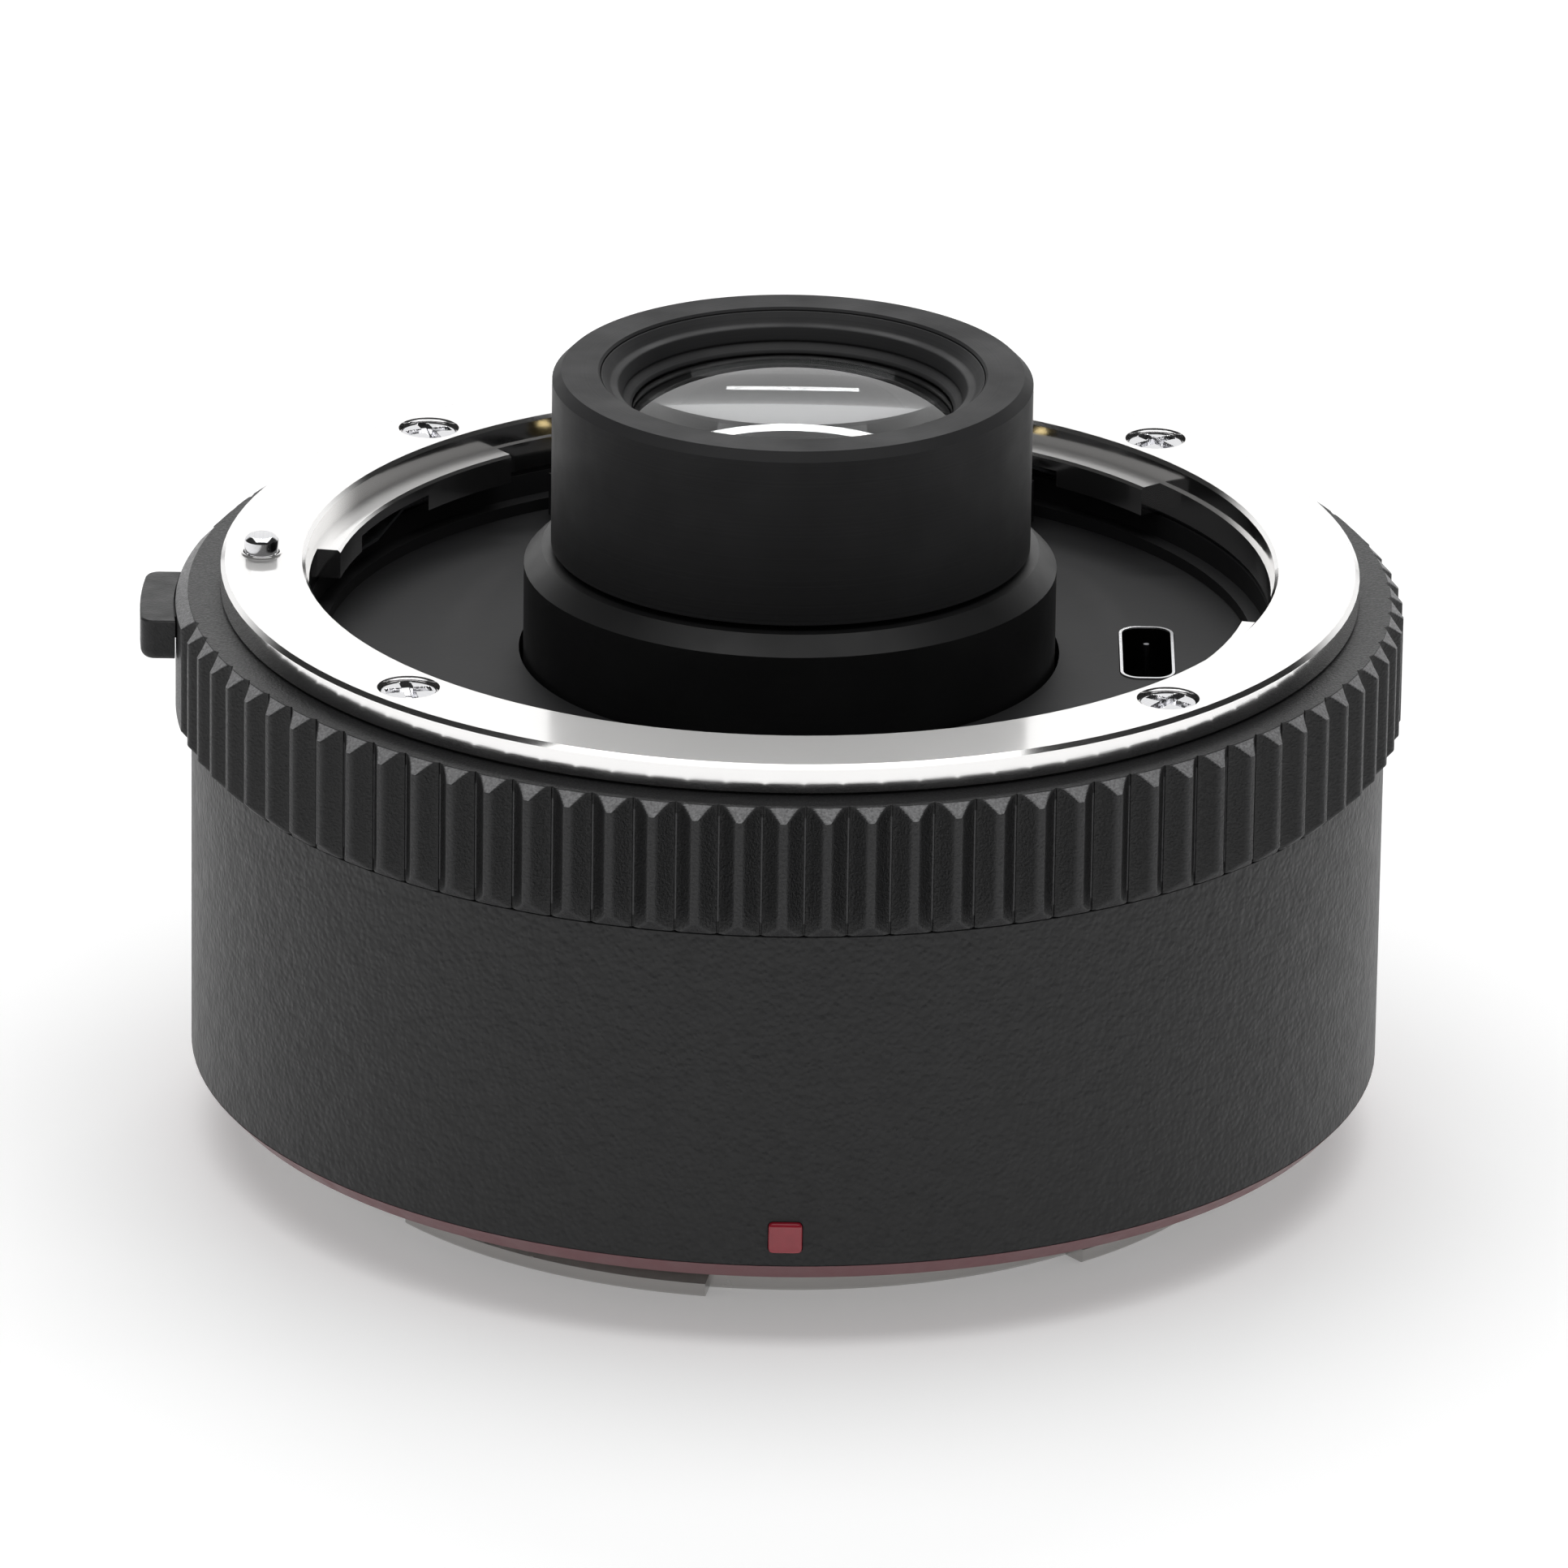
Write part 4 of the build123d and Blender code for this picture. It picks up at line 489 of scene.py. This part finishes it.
# %% Coated glass
FILM_WIDTH = 14.0          # mm
material, tree = blank("coated_lens_glass")
place = add(tree, "TexCoord").outputs["Object"]
film = add(tree, "TexNoise", {"Vector": place, "Scale": per_mm(FILM_WIDTH)})
tint = blend_colours(tree, film.outputs["Fac"], linear("#bcc0bd"), linear("#c0bec2"))
shader = add(tree, "BsdfPrincipled", {"Base Color": tint, "Roughness": 0.0, "IOR": 1.5,
                                      "Transmission Weight": 1.0})
add(tree, "OutputMaterial", {"Surface": shader.outputs[0]})
finishes["coated_glass"] = material
finishes["edge_grey"] = grained("ground_glass_edge", "#77787a", 0.6, grain=0.2, depth=0.004,
                                level=0.2)
print("glass and its ground edge")

# %% [markdown]
# ## Each piece gets its finish
# The record names a finish for every node. The mount at the back is the same metal as the one in
# front; it is made rougher, and its colour darker as painted shade from the shadowed floor it
# mirrors.

# %% Finishes on the pieces
for part in frame["record"]["subparts"]:
    mesh = nodes[part["node"]].data
    mesh.materials.clear()
    mesh.materials.append(finishes[part["material_slot"]])
nodes["camera_side_mount"].data.materials[0] = finishes["brushed_shaded_mount"]

# %% [markdown]
# ## Surfaces from grids
# Every new piece is a grid of points worked out from two numbers that run along it. One helper
# joins a grid's points with four-sided faces. One puts points and faces into a mesh, welds seams
# and poles, turns the faces outwards and keeps real edges sharp. Two more round the corners of
# an outline and turn an outline about an upright line.


# %% Grid helpers
def grid_faces(rows, columns, loop_rows=True):
    """Face (i, j) joins the points (i, j), (i, j + 1), (i + 1, j + 1) and (i + 1, j). The last
    column joins the first, and so does the last row of a loop. Point (i, j) has the number i
    times columns plus j."""
    i, j = np.meshgrid(np.arange(rows if loop_rows else rows - 1), np.arange(columns),
                       indexing="ij")
    k, m = (i + 1) % rows, (j + 1) % columns
    corners = (i * columns + j, i * columns + m, k * columns + m, k * columns + j)
    return np.stack(corners, axis=-1).reshape(-1, 4)


def put(name, points, faces, slot, body, replaced=(), sharp=32.0):
    """Makes a mesh piece from points in millimetres, parents it to its body's empty and hides the
    CAD nodes it replaces.
    """
    mesh = bpy.data.meshes.new(name)
    metres = np.asarray(points).reshape(-1, 3) * MM
    mesh.from_pydata(metres.tolist(), [], np.asarray(faces).tolist())
    shape = bmesh.new()
    shape.from_mesh(mesh)
    bmesh.ops.remove_doubles(shape, verts=shape.verts, dist=1e-7)
    bmesh.ops.dissolve_degenerate(shape, edges=shape.edges, dist=1e-8)
    bmesh.ops.recalc_face_normals(shape, faces=shape.faces)
    shape.to_mesh(mesh)
    shape.free()
    mesh.polygons.foreach_set("use_smooth", np.ones(len(mesh.polygons), bool))
    mesh.set_sharp_from_angle(angle=math.radians(sharp))
    mesh.materials.append(finishes[slot])
    piece = bpy.data.objects.new(name, mesh)
    bpy.context.scene.collection.objects.link(piece)
    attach(piece, body)
    for node in replaced:
        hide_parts(node)
    print(name, len(mesh.polygons), "faces")
    return piece


def softened(corners, radius, steps=4):
    """A closed outline whose corners are rounded. Each corner P gives way to the curve
    (1-t)(1-t) A + 2t(1-t) P + t t B, where A and B lie a radius from P along its two edges, or
    0.45 of an edge where that is less."""
    corner = np.asarray(corners, float)
    ends = []
    for side in (np.roll(corner, 1, axis=0) - corner, np.roll(corner, -1, axis=0) - corner):
        length = np.linalg.norm(side, axis=1)
        ends.append(corner + side * (np.minimum(radius, 0.45 * length) / length)[:, None])
    start, end = ends
    t = np.linspace(0.0, 1.0, steps)[None, :, None]
    curve = ((1 - t) ** 2 * start[:, None] + 2 * t * (1 - t) * corner[:, None]
             + t ** 2 * end[:, None])
    return curve.reshape(-1, 2)


def around_axis(outline, count=192, centre=(0.0, 0.0)):
    """Turns an outline of radius and height about an upright line: x is the radius times the
    cosine of the azimuth, y the radius times its sine."""
    azimuth = np.linspace(0.0, 2 * np.pi, count, endpoint=False)
    radius, height = np.asarray(outline, float).T
    x = centre[0] + radius[:, None] * np.cos(azimuth)
    y = centre[1] + radius[:, None] * np.sin(azimuth)
    return np.stack([x, y, np.broadcast_to(height[:, None], x.shape)], axis=-1)


print("helpers ready")

# %% [markdown]
# ## The ribbed grip ring
# The ring is gripped to lock the lens. Its 90 places for grooves lie 4 degrees apart; behind
# the release pad it is smooth. A groove is a shallow trough with a narrow slit along its root,
# and both rims of the ring are bevelled, so every trough ends in an arch. The surface is one
# grid: round the ring, and along its cross-section. The radius outside is the smaller one of the
# bevelled land and the trough, blended a little, as paint rounds edges.

# %% Grip ring
GRIP_INNER_R, LIP_INNER_R, LIP_LOW, LIP_BEVEL = 33.0, 31.65, 27.40, 0.15      # mm
WINDOW_LOW, WINDOW_HIGH, WINDOW_HALF = 24.38, 27.18, 2.35   # mm: opening for the release's stem
GROOVE_PITCH, FIRST_GROOVE = 4.0, -90.25      # degrees: spacing, and where the first place begins
GROOVE_HALF, ROOT_HALF, ROOT_STEP = 1.02, 0.045, 0.05       # mm: half widths, depth of the slit
GROOVE_POWER = 1.5                            # how the trough's wall steepens outwards
SMOOTH_AT, SMOOTH_HALF = 178.0, 12.0          # degrees: the stretch behind the release pad
PAINT_BLEND, RIM_STEP = 0.03, 0.05            # mm: how softly edges run together, the top's edge
half_places = [0.0, ROOT_HALF, ROOT_HALF + 0.025, 0.16, 0.28, 0.40, 0.52, 0.64, 0.76, 0.87,
               0.96, 1.01, 1.07, 1.14]        # mm beside a groove's middle
places = np.array([-v for v in half_places[:0:-1]] + half_places)
per_degree = GRIP_R * np.pi / 180
middles = FIRST_GROOVE + GROOVE_PITCH * (0.5 + np.arange(int(360 / GROOVE_PITCH)))
off_pad = np.sort((middles[:, None] + places / per_degree - 180.0).ravel() % 360)
degrees = (off_pad + 180.0) % 360
azimuth = np.radians(degrees)
off_land = (degrees - FIRST_GROOVE) % GROOVE_PITCH - GROOVE_PITCH / 2
across = np.abs(off_land) * per_degree
groove = GRIP_R - (GROOVE_DEPTH - ROOT_STEP) * (1 - (across / GROOVE_HALF) ** GROOVE_POWER)
groove = np.where(across < ROOT_HALF + 0.01, GRIP_R - GROOVE_DEPTH, groove)
from_smooth = (degrees - off_land - SMOOTH_AT + 180) % 360 - 180
groove = np.where(np.abs(from_smooth) > SMOOTH_HALF, groove, GRIP_R + 1.0)

# heights of the grid: close together on the two bevels, wider on the land, and at the window
rise = np.concatenate([np.linspace(0, GRIP_BEVEL, 13), [0.76, 0.82, 0.92, 1.06, 1.3]])
outer_z = np.concatenate([GRIP_LOW + rise, [WINDOW_LOW], GRIP_HIGH - rise[::-1], [WINDOW_HIGH]])
outer_z = np.unique(np.round(outer_z, 4))
from_rim = np.minimum(outer_z - GRIP_LOW, GRIP_HIGH - outer_z)
land = GRIP_R - np.maximum(0, GRIP_BEVEL - from_rim)
# the smaller radius, blended: minus the log of the sum of both exponentials of minus a radius
outer_r = GRIP_R - PAINT_BLEND * np.log(np.exp((GRIP_R - land[:, None]) / PAINT_BLEND)
                                        + np.exp((GRIP_R - groove[None, :]) / PAINT_BLEND))
rim_r = outer_r[-1] - RIM_STEP
inside = [(GRIP_INNER_R + 0.2, GRIP_HIGH), (LIP_INNER_R + LIP_BEVEL, GRIP_HIGH),
          (LIP_INNER_R, GRIP_HIGH - LIP_BEVEL), (LIP_INNER_R, LIP_LOW), (GRIP_INNER_R, LIP_LOW),
          (GRIP_INNER_R, WINDOW_HIGH), (GRIP_INNER_R, WINDOW_LOW), (GRIP_INNER_R, GRIP_LOW)]
radii = np.vstack([outer_r, rim_r[None], [np.full(len(azimuth), r) for r, z in inside]])
heights = np.concatenate([outer_z, [GRIP_HIGH], [z for r, z in inside]])
ring = np.stack([radii * np.cos(azimuth), radii * np.sin(azimuth),
                 np.broadcast_to(heights[:, None], radii.shape)], axis=-1)
rows, columns = radii.shape
faces = grid_faces(rows, columns)

# the window: its faces come out of both walls, and four strips of faces line the opening
row_of, column_of = faces[:, 0] // columns, faces[:, 0] % columns
window_degrees = math.degrees(WINDOW_HALF / GRIP_R)
first = int(np.argmin(np.abs(off_pad - window_degrees)))
last = int(np.argmin(np.abs(off_pad - (360 - window_degrees))))
out_low = int(np.argmin(np.abs(outer_z - WINDOW_LOW)))
out_high = int(np.argmin(np.abs(outer_z - WINDOW_HIGH)))
in_high = len(outer_z) + 1 + inside.index((GRIP_INNER_R, WINDOW_HIGH))
in_low = len(outer_z) + 1 + inside.index((GRIP_INNER_R, WINDOW_LOW))
in_window = (column_of < first) | (column_of >= last)
cut = in_window & (((row_of >= out_low) & (row_of < out_high)) | (row_of == in_high))
span = np.concatenate([np.arange(last, columns), np.arange(first)])
walls = [np.stack([a * columns + span, a * columns + (span + 1) % columns,
                   b * columns + (span + 1) % columns, b * columns + span], axis=-1)
         for a, b in ((out_low, in_low), (out_high, in_high))]
jambs = [[out_low * columns + column, out_high * columns + column, in_high * columns + column,
          in_low * columns + column] for column in (first, last)]
put("grip_ring_ribbed", ring, np.concatenate([faces[~cut], *walls, jambs]), "grip_paint",
    "converter", ["grip_ring"], sharp=40.0)
print(len(middles), "places for grooves, and the ones behind the pad are left smooth")

# %% [markdown]
# ## Cross-head screws
# Four countersunk screws hold the bayonet. A head is a disc with a cross-shaped recess, deepest
# in the middle, whose arms run out towards the rim. The surface is a polar grid: out from the
# middle of the head, over its rim, down the cone and the shank to the tip.

# %% Screws of the lens-side mount
SCREW_TOP, HEAD_R, SHANK_R, SCREW_END = 30.05, 1.6, 0.75, 23.92       # mm
ARM_HALF, ARM_REACH, ARM_SLOPE, CROSS_DEPTH = 0.33, 1.28, 0.07, 0.72   # mm
HEAD_EDGE, HEAD_CONE, TIP_BEVEL = 0.24, 0.95, 0.15     # mm: lower ends of rim and cone, tip
HEAD_ROUND, HEAD_WORN = 0.05, 0.06        # mm: how far the top falls outwards, width of its edge
SCREW_CIRCLE, SCREW_DETAIL = 29.8, 144    # mm, and points round a screw


def cross_recess(x, y):
    """How deep the cross is at a place of the head. Along an arm it is the full depth times the
    square root of one minus the square of distance over reach. At the arm's half width a short
    smooth slope ends it."""
    depth = np.zeros_like(x)
    for along, side in ((x, y), (y, x)):
        floor = CROSS_DEPTH * np.sqrt(np.clip(1 - (along / ARM_REACH) ** 2, 0, 1))
        edge = np.clip((ARM_HALF - np.abs(side)) / ARM_SLOPE, 0, 1)
        depth = np.maximum(depth, floor * edge * edge * (3 - 2 * edge))
    return depth


def screw_surface(centre, turned_by):
    """The head as a polar grid with the cross sunk in it, then the rim, the cone and the shank."""
    azimuth = np.linspace(0, 2 * np.pi, SCREW_DETAIL, endpoint=False)
    radius = np.concatenate([np.linspace(0, HEAD_R - 0.12, 34),
                             [HEAD_R - 0.05, HEAD_R - 0.012, HEAD_R]])
    x, y = radius[:, None] * np.cos(azimuth), radius[:, None] * np.sin(azimuth)
    worn_edge = np.clip((radius - HEAD_R + HEAD_WORN) / HEAD_WORN, 0, 1)
    dome = SCREW_TOP - HEAD_ROUND * ((radius / HEAD_R) ** 4 + worn_edge)
    head = np.stack([x, y, dome[:, None] - cross_recess(x, y)], axis=-1)
    below = around_axis([(HEAD_R, SCREW_TOP - HEAD_EDGE), (SHANK_R, SCREW_TOP - HEAD_CONE),
                         (SHANK_R, SCREW_END + TIP_BEVEL), (SHANK_R - TIP_BEVEL, SCREW_END),
                         (0, SCREW_END)], SCREW_DETAIL)
    x, y, z = np.moveaxis(np.concatenate([head, below]), -1, 0)
    cos, sin = math.cos(turned_by), math.sin(turned_by)
    return np.stack([x * cos - y * sin + centre[0], x * sin + y * cos + centre[1], z], axis=-1)


def several(surfaces):
    """Joins grids of one size into one list of points and one of faces."""
    rows, columns = surfaces[0].shape[:2]
    faces = grid_faces(rows, columns, loop_rows=False)
    return (np.concatenate([s.reshape(-1, 3) for s in surfaces]),
            np.concatenate([faces + rows * columns * k for k in range(len(surfaces))]))


def on_circle(radius, azimuths):
    """Places on a circle about the axis, from their azimuths in radians."""
    return [(radius * math.cos(a), radius * math.sin(a)) for a in azimuths]


screw_places = on_circle(SCREW_CIRCLE, np.radians((45, 135, 225, 315)))
screw_turns = np.radians((38, 20, 12, 55))       # each screw stopped at its own angle
screws = [screw_surface(*row) for row in zip(screw_places, screw_turns)]
put("lens_mount_cross_screws", *several(screws), "screw_steel", "converter",
    ["lens_mount_screws"])

# %% [markdown]
# ## Lens groups
# The nine elements stand in five groups. Cement joins the elements of a group and has nearly the
# glass's own index, so light doesn't see the joints: each group is drawn as one piece of glass,
# from its front sphere to its back sphere. A sphere of radius R that passes the axis at height v
# has the height v - (R - sqrt(R R - r r)) at the distance r, with the sign of R. The edge is
# ground and looks grey and dull from inside.

# %% Glass
EDGE_TILT = 0.05           # a face whose normal has less Z than this belongs to the ground edge
# elements, then height and radius of the front sphere, of the back sphere, and half diameter, mm
groups = [
    ((1, 2), 40.8329, 28.0, 36.0729, -60.0, 9.75),
    ((3, 4, 5), 33.5991, 80.0, 23.8891, 30.0, 9.4),
    ((6, 7), 20.0487, -70.0, 13.0187, -45.0, 11.0),
    ((8,), 11.8041, 55.0, 8.4041, -70.0, 12.5),
    ((9,), 5.8287, -45.0, 4.2287, -120.0, 14.5),
]


def sphere_height(vertex, curve, radius):
    """Vertex minus the sphere's drop at a radius."""
    return vertex - np.copysign(abs(curve) - np.sqrt(curve ** 2 - radius ** 2), curve)


for number, (elements, front, front_curve, back, back_curve, half) in enumerate(groups, start=1):
    out = np.linspace(0, half, 36)
    front_face = np.stack([out, sphere_height(front, front_curve, out)], axis=-1)
    back_face = np.stack([out, sphere_height(back, back_curve, out)], axis=-1)
    surface = around_axis(np.concatenate([front_face, back_face[::-1]]))
    piece = put(f"lens_group_{number}", surface, grid_faces(*surface.shape[:2], loop_rows=False),
                "coated_glass", "converter", [f"lens_element_{k}" for k in elements])
    piece.data.materials.append(finishes["edge_grey"])
    level = np.array([abs(face.normal.z) for face in piece.data.polygons])
    piece.data.polygons.foreach_set("material_index", (level < EDGE_TILT).astype(int))

# %% [markdown]
# ## Front retaining ring
# The ring that holds the front glass has a soft outline: a cone that leads in from the mouth, a
# flat top, a wall that narrows downwards, and a small foot that reaches to the clear glass.

# %% Retaining ring
BARREL_TOP, RING_SOFT = 41.53, 0.10       # mm
# distance from the axis, and how far under the barrel's top, mm
drops = [(10.85, 2.18), (10.85, 0.14), (10.44, 0.60), (10.30, 0.74), (9.90, 0.80),
         (9.56, 1.50), (9.63, 1.60), (9.50, 1.74), (9.16, 1.98), (9.06, 2.18)]
outline = softened([(radius, BARREL_TOP - drop) for radius, drop in drops], RING_SOFT, 5)
surface = around_axis(outline, 224)
put("front_retaining_ring_soft", surface, grid_faces(*surface.shape[:2]), "ring_black",
    "converter", ["front_retaining_ring"], sharp=50.0)

# %% [markdown]
# ## Lock pin and its bush
# The polished pin is turned like a tiny piston with a bevelled top. It slides in a thin bush
# that stands a hair above the flange; the bush stays when the pin goes down.

# %% Lock pin
PIN_CENTRE = (-30.0, 0.0)                 # mm
pin_outline = [(0, 22.93), (0.97, 22.93), (0.97, 30.98), (0.955, 31.03), (0.74, 31.235),
               (0.70, 31.25), (0, 31.25)]     # mm: radius and height
surface = around_axis(pin_outline, 96, PIN_CENTRE)
put("lock_pin_polished", surface, grid_faces(*surface.shape[:2], loop_rows=False),
    "screw_steel", "release", ["lock_pin"])
bush_outline = softened([(1.03, 30.1), (1.17, 30.1), (1.17, 30.29), (1.03, 30.29)], 0.04)
surface = around_axis(bush_outline, 96, PIN_CENTRE)
put("lock_pin_bush", surface, grid_faces(*surface.shape[:2]), "bright_mount", "converter")

# %% [markdown]
# ## Index bead
# The bead is a small moulded block with rounded corners. A superellipsoid has that shape: its
# coordinates are powers of sines and cosines, and the smaller the power the squarer it is.

# %% Index bead
BEAD_MIDDLE, BEAD_HALF = np.array([0.27, -33.75, 2.85]), np.array([0.95, 0.50, 0.90])     # mm
BEAD_SQUARE, BEAD_FLAT = 0.26, 0.30       # powers across the front, and from back to front


def power(value, exponent):
    """The size of a value raised to a power, with the value's sign."""
    return np.sign(value) * np.abs(value) ** exponent


lat = np.linspace(-np.pi / 2, np.pi / 2, 40)[:, None]
lon = np.linspace(0, 2 * np.pi, 72, endpoint=False)[None, :]
x = power(np.cos(lat), BEAD_FLAT) * power(np.cos(lon), BEAD_SQUARE)
y = power(np.sin(lat), BEAD_FLAT) + 0 * lon
z = power(np.cos(lat), BEAD_FLAT) * power(np.sin(lon), BEAD_SQUARE)
surface = BEAD_MIDDLE + BEAD_HALF * np.stack([x, y, z], axis=-1)
put("index_bead_glossy", surface, grid_faces(*surface.shape[:2], loop_rows=False),
    "bead_red", "converter", ["index_bead"], sharp=60.0)

# %% [markdown]
# ## Springs
# A compression spring is a wire carried along a helix, with its last turns laid flat. The tube
# is a grid: along the helix and round the wire.


# %% Coils
FLAT_TURNS = 0.75                             # at each end of a spring
CONTACT_CIRCLE, CONTACT_STEP = 23.6, 5.2      # mm, and degrees from one contact to the next


def coil(mean_r, wire_r, low, high, turns, centre, count=28, around_wire=8):
    """The centre line turns at mean_r. Its height grows evenly between the two flat end turns.
    Round it the wire is a circle across the line; both ends close."""
    t = np.linspace(0, 1, int(turns * count))
    risen = np.clip((t * turns - FLAT_TURNS) / (turns - 2 * FLAT_TURNS), 0, 1)
    angle = 2 * np.pi * turns * t
    height = low + wire_r + (high - low - 2 * wire_r) * risen
    section = np.linspace(0, 2 * np.pi, around_wire, endpoint=False)
    size = np.where((t == 0) | (t == 1), 0.0, wire_r)[:, None]
    radius = mean_r + size * np.cos(section)
    return np.stack([centre[0] + radius * np.cos(angle)[:, None],
                     centre[1] + radius * np.sin(angle)[:, None],
                     height[:, None] + size * np.sin(section)], axis=-1)


lock_coil = coil(0.80, 0.14, 20.42, 22.91, 6.0, PIN_CENTRE)
spring = put("lock_spring_coil", *several([lock_coil]), "spring_steel", "converter",
             ["lock_spring"], sharp=180)
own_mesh(spring)
contact_places = on_circle(CONTACT_CIRCLE, np.radians(90 + CONTACT_STEP * np.arange(-5, 6)))
coils = [coil(0.62, 0.07, 24.97, 25.86, 4.5, centre, count=20, around_wire=6)
         for centre in contact_places]
springs = put("contact_spring_coils", *several(coils), "spring_steel", "converter",
              ["contact_springs"], sharp=180)
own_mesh(springs)
